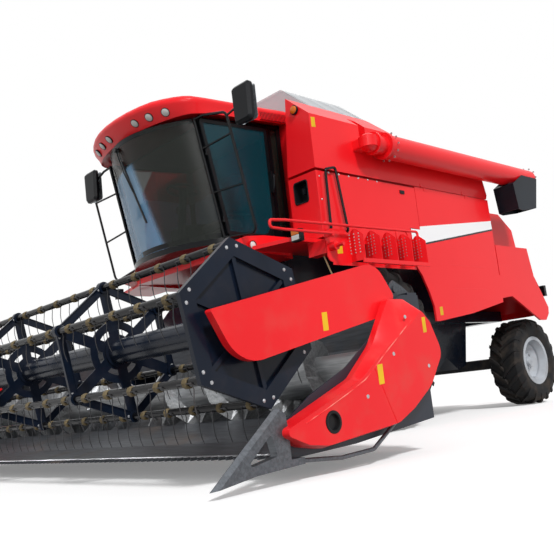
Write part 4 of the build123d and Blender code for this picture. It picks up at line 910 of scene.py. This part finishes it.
# %% [markdown]
# The cab roof is one moulding: a crowned lid whose rim turns down, with a curved brow in front
# that slopes back under itself to the top of the windscreen. It is lofted. Every point of the
# rim gets the same list of steps inwards and upwards, so the section stays the same all round
# while the rim runs straight along the sides and bends round the brow.

# %% Cab roof
ROOF_HALF, ROOF_REAR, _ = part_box("cab_roof")[1]
SPINE_FRONT = -1.55     # the ridge of the crown ends here, and the brow fans out from its end
SIDE_RIM = (ROOF_REAR - AXLE_Y, -0.75, -1.0, -1.25, -1.5, -1.66)
BROW_RIM = (            # x, y, how far the lip lies back under the crease
    (0.982, -1.760, 0.03), (0.962, -1.842, 0.06), (0.915, -1.905, 0.09), (0.835, -1.966, 0.115),
    (0.72, -2.030, 0.135), (0.58, -2.088, 0.15), (0.42, -2.136, 0.155), (0.22, -2.170, 0.155),
    (0.0, -2.182, 0.155))


def roof_rim():
    """Left half of the rim, rear to front: (x, y, height of lip, height of crease, lip's setback)."""
    rim = [(ROOF_HALF, y, 3.443 + (y + 1.75) * 0.072, 3.563 + (y + 1.842) * 0.0605, 0.012)
           for y in SIDE_RIM]
    for x, y, setback in BROW_RIM:
        share = 1 - x / 0.985
        rim.append((x, y, 3.437 + 0.010 * share, 3.566 + 0.030 * min(1.0, share * 2.5), setback))
    return rim


def roof_row(x, y, lip, crease, setback):
    """Section of the roof at one rim point, as points from the underside to the crown."""
    edge = Vector((x, y, 0))
    spine = Vector((0, max(y, SPINE_FRONT), 0))
    inwards, reach = (spine - edge).normalized(), (spine - edge).length
    shoulder_in, shoulder = 0.10, crease + 0.072
    crown = 3.655 + 0.115 * (spine.y + 2.19) * (1.0 if y > SPINE_FRONT else 0.93)
    rise = max(crown, shoulder + 0.01) - shoulder
    steps = [(min(reach, 0.34), lip + 0.035), (setback + 0.016, lip + 0.012), (setback, lip),
             (0.010, crease - 0.030), (0.0, crease), (0.006, crease + 0.022), (0.024, crease + 0.044),
             (0.055, crease + 0.061), (shoulder_in, shoulder)]
    steps += [(shoulder_in + (reach - shoulder_in) * share, shoulder + rise * (1 - (1 - share) ** 2))
              for share in (0.25, 0.45, 0.7, 1.0)]
    return [edge + inwards * inset + Vector((0, AXLE_Y, height)) for inset, height in steps]


left_rows = [roof_row(*point) for point in roof_rim()]
right_rows = [[Vector((-p.x, p.y, p.z)) for p in row] for row in reversed(left_rows[:-1])]
roof = bmesh.new()
skin(roof, left_rows + right_rows)
bmesh.ops.remove_doubles(roof, verts=roof.verts, dist=0.0005)
piece("roof_moulding", roof, "chassis", red, smooth=40, replaces=["cab_roof"])

# %% [markdown]
# Six round work lamps look out from the sloping underside of the brow, and one from each pod
# on the mirror brackets. Each is a rubber ring, a bright bowl and a domed lens, turned about
# the slope's own normal.

# %% Roof lamps
LIP, FACE = 2, 3        # a roof row's points at the foot and the top of the brow's underside
lamp_rims, lamp_bowls, lamp_lenses = bmesh.new(), bmesh.new(), bmesh.new()


def round_lamp(centre, facing, radius):
    for shape, profile in (
            (lamp_rims, [(-0.02, 1.12), (0.006, 1.15), (0.010, 1.05), (0.006, 1.0)]),
            (lamp_bowls, [(0.0, 0.99), (0.008, 0.97)]),
            (lamp_lenses, [(0.009, 0.95), (0.014, 0.75), (0.017, 0.4), (0.018, 0.1)])):
        turned(shape, centre, facing, [(along, radius * share) for along, share in profile], 24)


def on_brow(x, share):
    """Point and outward normal on the brow's sloping underside, at x of 0 or more."""
    rows = sorted(left_rows[len(SIDE_RIM) - 1:], key=lambda row: row[FACE + 1].x)
    for inner, outer in zip(rows, rows[1:]):
        if inner[FACE + 1].x <= x <= outer[FACE + 1].x:
            t = (x - inner[FACE + 1].x) / (outer[FACE + 1].x - inner[FACE + 1].x)
            lip, face = inner[LIP].lerp(outer[LIP], t), inner[FACE].lerp(outer[FACE], t)
            normal = (face - lip).cross(outer[FACE] - inner[FACE]).normalized()
            return lip.lerp(face, share), normal if normal.y < 0 else -normal


for way in (1, -1):
    flip = Vector((way, 1, 1))
    for x in (0.30, 0.53, 0.74):
        centre, facing = on_brow(x, 0.55)
        round_lamp(centre * flip, facing * flip, 0.043)
    round_lamp(spot(way * 1.114, -1.360, 2.035), (way, 0, 0), 0.040)
piece("lamp_rims", lamp_rims, "chassis", plastic)
piece("lamp_bowls", lamp_bowls, "chassis", bright_steel)
piece("lamp_lenses", lamp_lenses, "chassis", lens)

# %% [markdown]
# Air slots are pressed into each side of the roof behind the door: a row of narrow raised lips,
# each with a black strip behind it as painted shade for its opening.

# %% Roof air slots
SLOTS = 19
# Each part's width, how far it stands out, how far it lies behind the lip, finish and slot.
# The second row makes black strips: painted shade where the slots open.
for label, width, stand, shift, finish, slot in (
        ("lips", 0.007, 0.006, 0.0, red, "red_sheet"),
        ("painted_shade_strips", 0.010, 0.0015, 0.0105, plastic, "black_plastic")):
    shape = bmesh.new()
    for way in (1, -1):
        x0, x1 = sorted((way * (ROOF_HALF - 0.012), way * (ROOF_HALF - 0.001 + stand)))
        corners = ((x0, -0.5), (x1, -0.5), (x1, 0.5), (x0, 0.5))
        skin(shape, [[(x, y + share * width, z) for x, share in corners]
                     for y, z in ((shift, -0.045), (shift - 0.012, 0.045))])
    slots = row_of(label, shape, SLOTS, spot(0, -0.93, 3.560), (0.0, 0.0215, 0.0015), finish)
    piece(f"roof_slot_{label}", slots, "chassis", finish)

# %% [markdown]
# The driver sits on a sprung seat with stuffed cloth pads. A rounded outline is lofted through
# a few heights, and a cloth simulation blows that form up from inside, as foam does to its
# cover. The sewn channels are pulled in afterwards, because an even remesh would lose them.

# %% Seat pads
seat_low, seat_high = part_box("driver_seat")
SEAT_Z = seat_high[2] - 0.76                    # foot of the lower pad
VOXEL, PRESSURE, MOMENTS = 0.008, 4.0, 20
SWELL_MOST = 0.012
SEAM_AT, SEAM_WIDE, SEAM_DEEP = 0.125, 0.009, 0.006


def evaluated(made):
    """A piece's mesh with its modifiers applied."""
    return bpy.data.meshes.new_from_object(made.evaluated_get(bpy.context.evaluated_depsgraph_get()))


def swell(made):
    """Blow a closed form up like a stuffed cover, no point moving further than SWELL_MOST."""
    made.modifiers.new("even", "REMESH").voxel_size = VOXEL
    made.data = evaluated(made)
    made.modifiers.clear()
    start = [v.co.copy() for v in made.data.vertices]
    cover = made.modifiers.new("cover", "CLOTH")
    cover.settings.use_pressure, cover.settings.uniform_pressure_force = True, PRESSURE
    cover.settings.effector_weights.gravity = 0.0
    cover.point_cache.frame_start, cover.point_cache.frame_end = 1, MOMENTS
    for moment in range(1, MOMENTS + 1):
        bpy.context.scene.frame_set(moment)
    blown = evaluated(made)
    made.modifiers.clear()
    bpy.context.scene.frame_set(1)
    for vert, origin, full in zip(made.data.vertices, start, blown.vertices):
        move = full.co - origin
        vert.co = origin + move * min(1.0, SWELL_MOST / max(move.length, 1e-6))


def sew(made, place):
    """Pull the cover in along a line on either side of the pad's middle."""
    flat = place.inverted()
    for vert in made.data.vertices:
        across = abs((flat @ vert.co).x)
        vert.co -= vert.normal * SEAM_DEEP * math.exp(-((across - SEAM_AT) / SEAM_WIDE) ** 2)


def cushion(name, place, width, depth, height, crown):
    """Stuffed pad with two sewn channels, its foot at place."""
    outline = rounded(width / 2, depth / 2, min(width, depth) * 0.22)
    levels = [(0.0, 0.90), (height * 0.12, 0.98), (height * 0.45, 1.0), (height * 0.55, 1.0),
              (height * 0.86, 0.97), (height * 0.97, 0.88), (height + crown * 0.5, 0.66),
              (height + crown * 0.9, 0.36), (height + crown, 0.08)]
    shape = bmesh.new()
    skin(shape, [[place @ Vector((x * grow, y * grow, z)) for x, y in outline] for z, grow in levels])
    made = piece(name, shape, "chassis", seat_cloth, smooth=180)
    swell(made)
    sew(made, place)
    made.data.materials.clear()
    made.data.materials.append(seat_cloth)
    made.data.shade_smooth()
    softer = made.modifiers.new("soft", "SUBSURF")
    softer.levels = softer.render_levels = 1
    print(name, "has", len(made.data.polygons), "faces before it is smoothed")
    return made


lying = (Matrix.Translation((0, (seat_low[1] + seat_high[1]) / 2 - 0.02, SEAT_Z))
         @ Matrix.Rotation(math.radians(3), 4, "X"))
standing = (Matrix.Translation((0, seat_high[1] - 0.120, SEAT_Z + 0.135))
            @ Matrix.Rotation(math.radians(83), 4, "X") @ Matrix.Translation((0, 0.30, -0.03)))
seat = cushion("seat_cushion", lying, 0.45, 0.38, 0.09, 0.015)
back_rest = cushion("seat_back", standing, 0.43, 0.54, 0.06, 0.015)
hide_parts("driver_seat")
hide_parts("driver_seat")

# %% [markdown]
# Under the pads are a foot plate, folded rubber bellows and a pan, and a bracket on each side
# holds the back.

# %% Seat stand
FOLDS, FOLD = 7, 0.034
stand = bmesh.new()
box(stand, (-0.19, seat_low[1] + 0.06, seat_low[2] + 0.001), (0.19, seat_high[1] - 0.06, seat_low[2] + 0.05))
for k in range(FOLDS):
    turned(stand, (0, seat_low[1] + 0.21, seat_low[2] + 0.05 + k * FOLD), UP,
           [(0.0, 0.135), (FOLD / 2, 0.155), (FOLD, 0.135)], 20)
box(stand, (-0.21, seat_low[1] + 0.03, SEAT_Z - 0.032), (0.21, seat_high[1] - 0.03, SEAT_Z - 0.004))
for way in (1, -1):
    plate(stand, [(way * 0.235, seat_high[1] - back, SEAT_Z + rise)
                  for back, rise in ((0.03, -0.03), (0.10, -0.03), (0.08, 0.22), (0.02, 0.22))],
          (way * 0.01, 0, 0))
piece("seat_stand", stand, "chassis", plastic)

# %% [markdown]
# Round the driver there are a lined ceiling, a console with its lever on the right, a rest for
# the left arm, and a screen on the front post.

# %% Cab fittings
CONSOLE = (             # left and right x, front and rear y, z in front and behind, foot to top
    (-0.62, -0.34, -1.05, -0.62, 2.175, 2.175), (-0.62, -0.34, -1.12, -0.60, 2.60, 2.66),
    (-0.60, -0.36, -1.10, -0.62, 2.63, 2.69))

ceiling, console = bmesh.new(), bmesh.new()
plate(ceiling, [spot(-0.78, -1.60, 3.405), spot(0.78, -1.60, 3.405), spot(0.80, -0.60, 3.47),
                spot(-0.80, -0.60, 3.47)], (0, 0, 0.012))
skin(console, [[spot(x0, y0, z0), spot(x1, y0, z0), spot(x1, y1, z1), spot(x0, y1, z1)]
               for x0, x1, y0, y1, z0, z1 in CONSOLE])
tube(console, [spot(-0.46, -1.02, 2.63), spot(-0.46, -1.05, 2.72), spot(-0.45, -1.08, 2.80)],
     [0.012, 0.012, 0.020], 8)
turned(console, spot(-0.45, -1.08, 2.79), (0, -0.3, 1),
       [(0.0, 0.018), (0.03, 0.030), (0.07, 0.030), (0.09, 0.014)], 12)
box(console, spot(-0.72, -1.50, 2.78), spot(-0.54, -1.46, 2.92))
tube(console, [spot(-0.78, -1.50, 2.76), spot(-0.66, -1.48, 2.78)], 0.010, 6)
plate(console, [spot(0.36, -1.00, 2.58), spot(0.44, -1.00, 2.58), spot(0.44, -0.66, 2.60),
                spot(0.36, -0.66, 2.60)], (0, 0, 0.04))
piece("cab_ceiling", ceiling, "chassis", seat_cloth)
piece("cab_console", console, "chassis", plastic, smooth=50)

# %% [markdown]
# The wiper hangs from the top of the windscreen: a parallel arm pair and a long blade that
# follows the curved glass. Rubber runs along the glass's lower edge, and a dark band hides its
# upper one.

# %% Wiper and windscreen seals
SCREEN_FOOT, SCREEN_BULGE, SCREEN_HALF, SCREEN_FLOOR, SCREEN_LEAN = -1.48, 0.32, 0.80, 2.17, 0.205
SEAL_STEPS = 24


def on_screen(x, z, off=0.0):
    """Point on the windscreen, `off` in front of it."""
    sag = SCREEN_BULGE * (1 - (x / SCREEN_HALF) ** 2)
    return spot(x, SCREEN_FOOT - sag - SCREEN_LEAN * (z - SCREEN_FLOOR) - off, z)


wiper = bmesh.new()
turned(wiper, on_screen(-0.20, 3.36, 0.005), (0, -1, 0.2), [(0.0, 0.028), (0.035, 0.028), (0.04, 0.018)], 12)
for shift, end_z, radius in ((0.0, 2.86, 0.007), (0.04, 2.90, 0.005)):
    tube(wiper, [on_screen(-0.20 + shift, 3.36, 0.03), on_screen(-0.14 + shift, 3.10, 0.035),
                 on_screen(-0.06 + shift / 2, end_z, 0.028)], radius, 6)
tube(wiper, [on_screen(-0.16 + 0.03 * k, 3.22 - 0.12 * k, 0.012) for k in range(7)], 0.012, 6)
for z, tall in ((SCREEN_FLOOR + 0.012, 0.05), (3.392, 0.045)):
    skin(wiper, [[on_screen(x, z, 0.004), on_screen(x, z + tall, 0.004), on_screen(x, z + tall, -0.003),
                  on_screen(x, z, -0.003)]
                 for x in (SCREEN_HALF * (2 * k / SEAL_STEPS - 1) for k in range(SEAL_STEPS + 1))])
piece("wiper_and_seals", wiper, "chassis", plastic)

# %% [markdown]
# Latches and bolts make the panels read as folded sheet. The front side panels hang on
# dome screws along their top and front edges, and each hatch has a small latch.

# %% Screws and latches on the body
TOP_SCREW = [(0, 0.011), (0.004, 0.010), (0.007, 0.005)]
FRONT_SCREW = [(0, 0.010), (0.004, 0.009), (0.006, 0.004)]
SCREWS = ([(-0.62 + 0.16 * k, 2.755, TOP_SCREW) for k in range(6)]
          + [(-0.770, z, FRONT_SCREW) for z in (2.70, 2.45, 2.20)])

screws, panel_latches = bmesh.new(), bmesh.new()
body_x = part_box("front_side_panels")[1][0]
for way in (1, -1):
    for y, z, profile in SCREWS:
        turned(screws, spot(way * (body_x - 0.0005), y, z), (way, 0, 0), profile, 10)
    box(panel_latches, spot(way * (body_x - 0.002), 0.58, 2.66), spot(way * (body_x + 0.010), 0.66, 2.70))
piece("panel_screws", screws, "chassis", bright_steel, smooth=60)
piece("panel_latches", panel_latches, "chassis", plastic)

# %% [markdown]
# The elbow of the unloading tube is flanged and bolted, and its far end too. Each flange has a
# ring of hexagon bolts about the tube's own axis.

# %% Flange bolts
TUBE_X, TUBE_Z, FLANGE_RADIUS = 1.760, 3.120, 0.158

rings = []
for y in (0.245, 3.355):
    bolt = bolt_shape(0.010, 0.012, Y_AXIS, (0, 0, FLANGE_RADIUS))
    rings.append(ring_of("bolts", bolt, 12, spot(TUBE_X, y, TUBE_Z), Y_AXIS, bright_steel))
piece("unloader_bolts", joined("unloader_bolts", rings), "unloader", bright_steel)

# %% [markdown]
# Mirrors get real glass: a thin pane on each housing's face, just inside its rim.

# %% Mirror glass
MIRROR_Y, MIRROR_Z = -1.7085, 3.280

panes = bmesh.new()
for x in (1.650, -1.250):
    plate(panes, [spot(x + a, MIRROR_Y, MIRROR_Z + b) for a, b in rounded(0.118, 0.175, 0.028)],
          (0, 0.0015, 0))
piece("mirror_panes", panes, "chassis", mirror_glass)

# %% [markdown]
# Lamps on the rear arms, a beacon under the tank's eave and the lamp cluster at the corner of
# the platform: every lamp is a housing with a lens that stands a little proud.

# %% Small lamps
lamp_house, clear_lens, amber_lens, stop_lens = (bmesh.new() for _ in range(4))
for way in (1, -1):
    box(lamp_house, spot(way * 1.60, -1.285, 1.955), spot(way * 1.72, -1.225, 2.075))
    for shape, foot, top in ((clear_lens, 1.967, 2.015), (amber_lens, 2.020, 2.066)):
        box(shape, spot(way * 1.612, -1.293, foot), spot(way * 1.708, -1.285, top))
    tube(lamp_house, [spot(way * 1.56, -1.24, 2.00), spot(way * 1.61, -1.25, 2.01)], 0.012, 8)
    for shape, z in ((stop_lens, 1.655), (amber_lens, 1.585)):
        turned(shape, spot(way * 1.30, 4.240, z), Y_AXIS, [(0.0, 0.028), (0.008, 0.027), (0.011, 0.015)], 16)
turned(lamp_house, spot(1.412, -0.823, 3.480), (0, -1, 0), [(0.0, 0.050), (0.02, 0.052), (0.024, 0.046)], 20)
turned(amber_lens, spot(1.412, -0.845, 3.480), (0, -1, 0), [(0.0, 0.044), (0.012, 0.040), (0.018, 0.022)], 20)
piece("lamp_housings", lamp_house, "chassis", plastic)
piece("lamp_lenses_clear", clear_lens, "chassis", lens)
piece("lamp_lenses_amber", amber_lens, "chassis", amber)
piece("lamp_lenses_red", stop_lens, "chassis", red_lens)

# %% [markdown]
# Hoses to the reel's drive lie along the top of the left arm and are clipped to it, so they
# follow the arm's own surface, a hose radius above it.

# %% Hoses on the reel arm
HOSE_RADIUS = 0.009

hoses = bmesh.new()
arm_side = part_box("reel_arms")[1][0]
for inset in (0.034, 0.012):
    run = []
    for y in (-2.10, -2.30, -2.50, -2.70, -2.90):
        place, normal = touch("reel_arms", spot(arm_side - inset, y, 3.0), -UP)
        run.append(place + normal * HOSE_RADIUS)
    tube(hoses, curve_points(run, 4), HOSE_RADIUS, 8)
piece("reel_arm_hoses", hoses, "reel_lift_arms", plastic, smooth=60)

# %% [markdown]
# The ladder's treads are pierced so that mud falls through. Each hole is pressed outwards into
# a little ring whose edge wears bright. The ring sits on whatever way its tread faces.

# %% Pierced treads
TREADS, TREAD_STEP = 5, 0.264
HOLE_ACROSS, HOLE_UP = 0.052, 0.032

rings = []
for tread in range(TREADS):
    place, normal = touch("access_ladder", spot(1.85, -0.770 + TREAD_STEP * tread, 1.925), Y_AXIS)
    up, across = lie_on(normal, UP)
    hole = bmesh.new()
    turned(hole, (0, 0, 0), normal, [(0.0, 0.0075), (0.002, 0.0072), (0.003, 0.0050)], 7)
    corner = place - across * HOLE_ACROSS - up * 0.090 + normal * 0.0003
    rings.append(repeated("holes", hole, field_rule, Columns=3, Rows=7, Start=tuple(corner),
                          Across=tuple(across * HOLE_ACROSS), Up=tuple(up * HOLE_UP), Finish=bright_steel))
piece("tread_holes", joined("tread_holes", rings), "ladder", bright_steel)

# %% [markdown]
# The hatch tray in the tank's front wall is a black moulding with a rolled rim and a latch.
# Its section runs from the back of the floor, out over the rim and back down to the floor.

# %% Hatch trays
TRAY_SECTION = (        # depth behind the wall, share of the opening's size
    (0.112, 0.96), (0.006, 1.0), (0.0, 1.10), (-0.004, 1.10), (-0.008, 1.04), (-0.004, 0.96),
    (0.10, 0.93))

tray = bmesh.new()
opening = rounded(0.095, 0.1125, 0.03)
for way in (1, -1):
    mid = spot(way * 1.365, -0.822, 2.580)
    skin(tray, [[mid + Vector((x * grow, depth, z * grow)) for x, z in opening]
                for depth, grow in TRAY_SECTION])
    box(tray, mid + Vector((way * 0.03, -0.010, -0.03)), mid + Vector((way * 0.055, 0.05, 0.03)))
piece("hatch_trays", tray, "chassis", plastic, smooth=40)

# %% [markdown]
# Behind, the hood has two stacks of louvres with a grab handle under them. A louvre is a
# wedge of folded sheet that lies on the hood's own slope.

# %% Hood louvres and handle
LOUVRES, LOUVRE_STEP, LOUVRE_HALF = 8, 0.045, 0.34
LOUVRE_SECTION = ((-0.011, 0.0), (0.008, 0.0), (-0.009, 0.016))        # up the slope, off it
HANDLE = ((-0.14, -0.002), (-0.14, 0.035), (-0.12, 0.05), (0.12, 0.05), (0.14, 0.035), (0.14, -0.002))

place, normal = touch("rear_hood", spot(0, 5.2, 2.30), (0, -1, 0))
up, across = lie_on(normal, UP)
louvre = bmesh.new()
skin(louvre, [[across * x + up * z + normal * out for z, out in LOUVRE_SECTION]
              for x in (-LOUVRE_HALF, LOUVRE_HALF)])
louvre_mesh = mesh_from("louvre", louvre)
stacks = [row_of("louvres", louvre_mesh, LOUVRES, place + across * x - up * 0.05, up * LOUVRE_STEP, red)
          for x in (-0.45, 0.45)]
piece("hood_louvres", joined("hood_louvres", stacks), "chassis", red)
handle = bmesh.new()
grip = place - up * 0.14
tube(handle, [grip + across * x + normal * out for x, out in HANDLE], 0.010, 8)
piece("hood_handle", handle, "chassis", black, smooth=60)

# %% [markdown]
# The engine draws its air through a pierced screen in a dark plate on top of the cowling.

# %% Air screen
SCREEN_LONG, SCREEN_WIDE, SCREEN_HOLE = 0.36, 0.26, 0.0253     # half sizes, and from hole to hole

place, normal = touch("engine_cowling", spot(-0.95, 1.75, 4.5), -UP)
along, across = lie_on(normal, Vector(Y_AXIS))
screen_plate = bmesh.new()
plate(screen_plate, [place + along * a * SCREEN_LONG + across * b * SCREEN_WIDE + normal * 0.0004
                     for a, b in ((-1, -1), (1, -1), (1, 1), (-1, 1))], normal * 0.006)
hole = bmesh.new()
turned(hole, (0, 0, 0), normal, [(0.0, 0.0095), (0.002, 0.0085)], 6)
corner = place - along * (SCREEN_LONG - 0.02) - across * (SCREEN_WIDE - 0.02) + normal * 0.0062
dots = repeated("screen", hole, field_rule, Columns=28, Rows=20, Start=tuple(corner),
                Across=tuple(along * SCREEN_HOLE), Up=tuple(across * SCREEN_HOLE), Finish=bright_steel)
piece("air_screen_frame", screen_plate, "chassis", black)
piece("air_screen_holes", dots, "chassis", wire_steel)

# %% [markdown]
# A clamp band holds the exhaust where it comes through the roof, bow handles of bent round bar
# sit on the door and at the ladder's rear, and a pale rod props the ladder's latch.

# %% Clamp, handles and latch rod
DOOR_BOW = ((0.905, -0.80, 2.735), (0.940, -0.80, 2.75), (0.945, -0.79, 2.82), (0.940, -0.78, 2.90),
            (0.905, -0.78, 2.915))
LADDER_BOW = ((1.77, 0.50, 2.03), (1.77, 0.56, 2.06), (1.77, 0.62, 2.05), (1.77, 0.63, 2.00),
              (1.77, 0.57, 1.97))

band, door_bow, ladder_bow, rod = (bmesh.new() for _ in range(4))
turned(band, spot(0.760, 2.050, 3.30), UP, [(-0.02, 0.062), (-0.02, 0.070), (0.02, 0.070), (0.02, 0.062)], 24)
tube(door_bow, curve_points([spot(*p) for p in DOOR_BOW], 3), 0.012, 8)
tube(ladder_bow, curve_points([spot(*p) for p in LADDER_BOW], 3), 0.009, 8)
tube(rod, [spot(1.62, -0.868, 1.839), spot(1.62, -0.781, 1.657)], 0.008, 8)
piece("exhaust_clamp", band, "chassis", bright_steel)
piece("door_handle", door_bow, "cab_door", plastic, smooth=60)
piece("ladder_handle", ladder_bow, "ladder", black, smooth=60)
piece("latch_rod", rod, "chassis", cream, smooth=60)

# %% [markdown]
# Pressed beads stiffen the long side panels, and ribs stiffen the clear tank lids. Both follow
# their sheet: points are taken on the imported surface, and a slim round bar runs through them.

# %% Beads and ribs
def bead(shape, node, starts, towards, radius, sink=0.4):
    """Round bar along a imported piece's surface, sunk by a share of its radius."""
    touched = [touch(node, start, towards) for start in starts]
    tube(shape, [place - normal * radius * sink for place, normal in touched], radius, 6)


for side, way in SIDES:
    beads = bmesh.new()
    for z in (1.849, 1.556):
        bead(beads, f"side_panel_{side}", [spot(way * 2.6, 1.40 + 0.20 * k, z) for k in range(5)],
             (-way, 0, 0), 0.004)
    piece(f"panel_beads_{side}", beads, f"panel_{side}", banded_red)

for side, way in SIDES:
    ribs = bmesh.new()
    low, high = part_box(f"tank_lid_{side}")
    inner, outer = (0.03, high[0] - 0.04) if way == 1 else (low[0] + 0.04, -0.03)
    for share in (0.06, 0.35, 0.65, 0.94):
        y = low[1] + (high[1] - low[1]) * share
        bead(ribs, f"tank_lid_{side}", [(inner + (outer - inner) * k / 10, y, 4.6) for k in range(11)],
             -UP, 0.009, 0.9)
    piece(f"lid_ribs_{side}", ribs, f"lid_{side}", plastic, smooth=60)

# %% [markdown]
# A pressed ridge runs from each header shield's nose up to its top. Crop rubs it, so its paint
# is thinner and paler than the rest.

# %% Ridges on the shields
RIDGE = ((-3.20, 0.330), (-3.00, 0.400), (-2.80, 0.475), (-2.62, 0.550), (-2.50, 0.630),
         (-2.40, 0.700), (-2.20, 0.830), (-2.05, 0.925))           # (y, z)

ridges = bmesh.new()
for way in (1, -1):
    bead(ridges, "side_shields", [spot(way * 3.9, y, z) for y, z in RIDGE], (-way, 0, 0), 0.0045)
# The ridge's paler streaks are a painted highlight.
piece("shield_ridges", ridges, "header", highlight_red, smooth=60)

# %% [markdown]
# Round the rear hood's door runs a rubber seal, with two hinges above and a latch at each
# lower corner.

# %% Hood door
DOOR_HALF, DOOR_TOP, DOOR_FOOT, SEAL_STEPS = 0.93, 2.66, 1.88, 6
BEHIND = 5.2            # a place behind the machine, to look forwards from

seal, hinges = bmesh.new(), bmesh.new()
corners = [(-DOOR_HALF, DOOR_TOP), (DOOR_HALF, DOOR_TOP), (DOOR_HALF, DOOR_FOOT), (-DOOR_HALF, DOOR_FOOT)]
for (xa, za), (xb, zb) in zip(corners, corners[1:] + corners[:1]):
    shares = [k / SEAL_STEPS for k in range(SEAL_STEPS + 1)]
    bead(seal, "rear_hood", [spot(xa + (xb - xa) * s, BEHIND, za + (zb - za) * s) for s in shares],
         (0, -1, 0), 0.006, 0.6)
for x in (-0.6, 0.6):
    place, normal = touch("rear_hood", spot(x, BEHIND, 2.60), (0, -1, 0))
    turned(hinges, place + normal * 0.006 - Vector((0.05, 0, 0)), X_AXIS, [(0.0, 0.014), (0.10, 0.014)], 10)
for x in (-0.85, 0.85):
    place, normal = touch("rear_hood", spot(x, BEHIND, 1.95), (0, -1, 0))
    turned(hinges, place - normal * 0.001, normal, [(0.0, 0.026), (0.008, 0.024), (0.012, 0.012)], 16)
piece("hood_seal", seal, "chassis", plastic)
piece("hood_hinges", hinges, "chassis", black)

# %% [markdown]
# The studio is a white floor and a white surround. Both show as white to the camera, in glass
# and in gloss, and throw less light than that onto the machine. The floor takes a soft shadow.

# %% Floor
REACH = 60.0            # metres from the middle to the floor's edge


def shown(tree):
    """1 where the camera, gloss or glass looks at it, 0 where its light falls on something."""
    rays = tree.node("ShaderNodeLightPath", out=None).outputs
    camera_ray, glossy, through = (Wire(tree.tree, rays[f"Is {kind} Ray"])
                                   for kind in ("Camera", "Glossy", "Transmission"))
    return (camera_ray + glossy + through).ramp(0.0, 1.0)


floor_mesh = bpy.data.meshes.new("studio_floor")
floor_mesh.from_pydata([(-REACH, -REACH, 0), (REACH, -REACH, 0), (REACH, REACH, 0), (-REACH, REACH, 0)],
                       [], [(0, 1, 2, 3)])
floor = bpy.data.objects.new("studio_floor", floor_mesh)
bpy.context.scene.collection.objects.link(floor)
floor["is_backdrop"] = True
ground = Finish("studio_floor")
direct = shown(ground)
glow = ground.node("ShaderNodeEmission", Color=(1.0, 1.0, 1.0), Strength=direct * 0.20)
matte = ground.node("ShaderNodeBsdfDiffuse",
                    Color=ground.mix(direct, (0.34, 0.33, 0.32), (0.93, 0.93, 0.93)))
ground.end("ShaderNodeOutputMaterial", ground.node("ShaderNodeAddShader", _0=glow, _1=matte))
floor_mesh.materials.append(ground.material)
print("floor laid")

# %% [markdown]
# A high key lamp from the front left lights the side that shows, and a low fill lamp from the
# same quarter opens up the shadows under the header.

# %% World and lamps
world = bpy.data.worlds.new("studio")
bpy.context.scene.world = world
world.use_nodes = True
sky = Tree(world.node_tree)
backdrop = sky.node("ShaderNodeBackground", Color=(1.0, 1.0, 1.0), Strength=shown(sky) * 0.58 + 0.42)
sky.end("ShaderNodeOutputWorld", backdrop)


def lamp(name, towards, strength, spread):
    """A soft distant light that shines along `towards`."""
    data = bpy.data.lights.new(name, "SUN")
    data.energy, data.angle = strength, math.radians(spread)
    made = bpy.data.objects.new(name, data)
    made.rotation_mode = "QUATERNION"
    made.rotation_quaternion = Vector(towards).to_track_quat("-Z", "Y")
    bpy.context.scene.collection.objects.link(made)


lamp("key", (-0.78, 0.36, -0.80), 2.45, 8)
lamp("fill", (-0.60, 0.70, -0.12), 0.75, 30)
print("lit")

# %% [markdown]
# Last, the box of everything that shows is measured.

# %% Measure what shows
low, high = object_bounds()
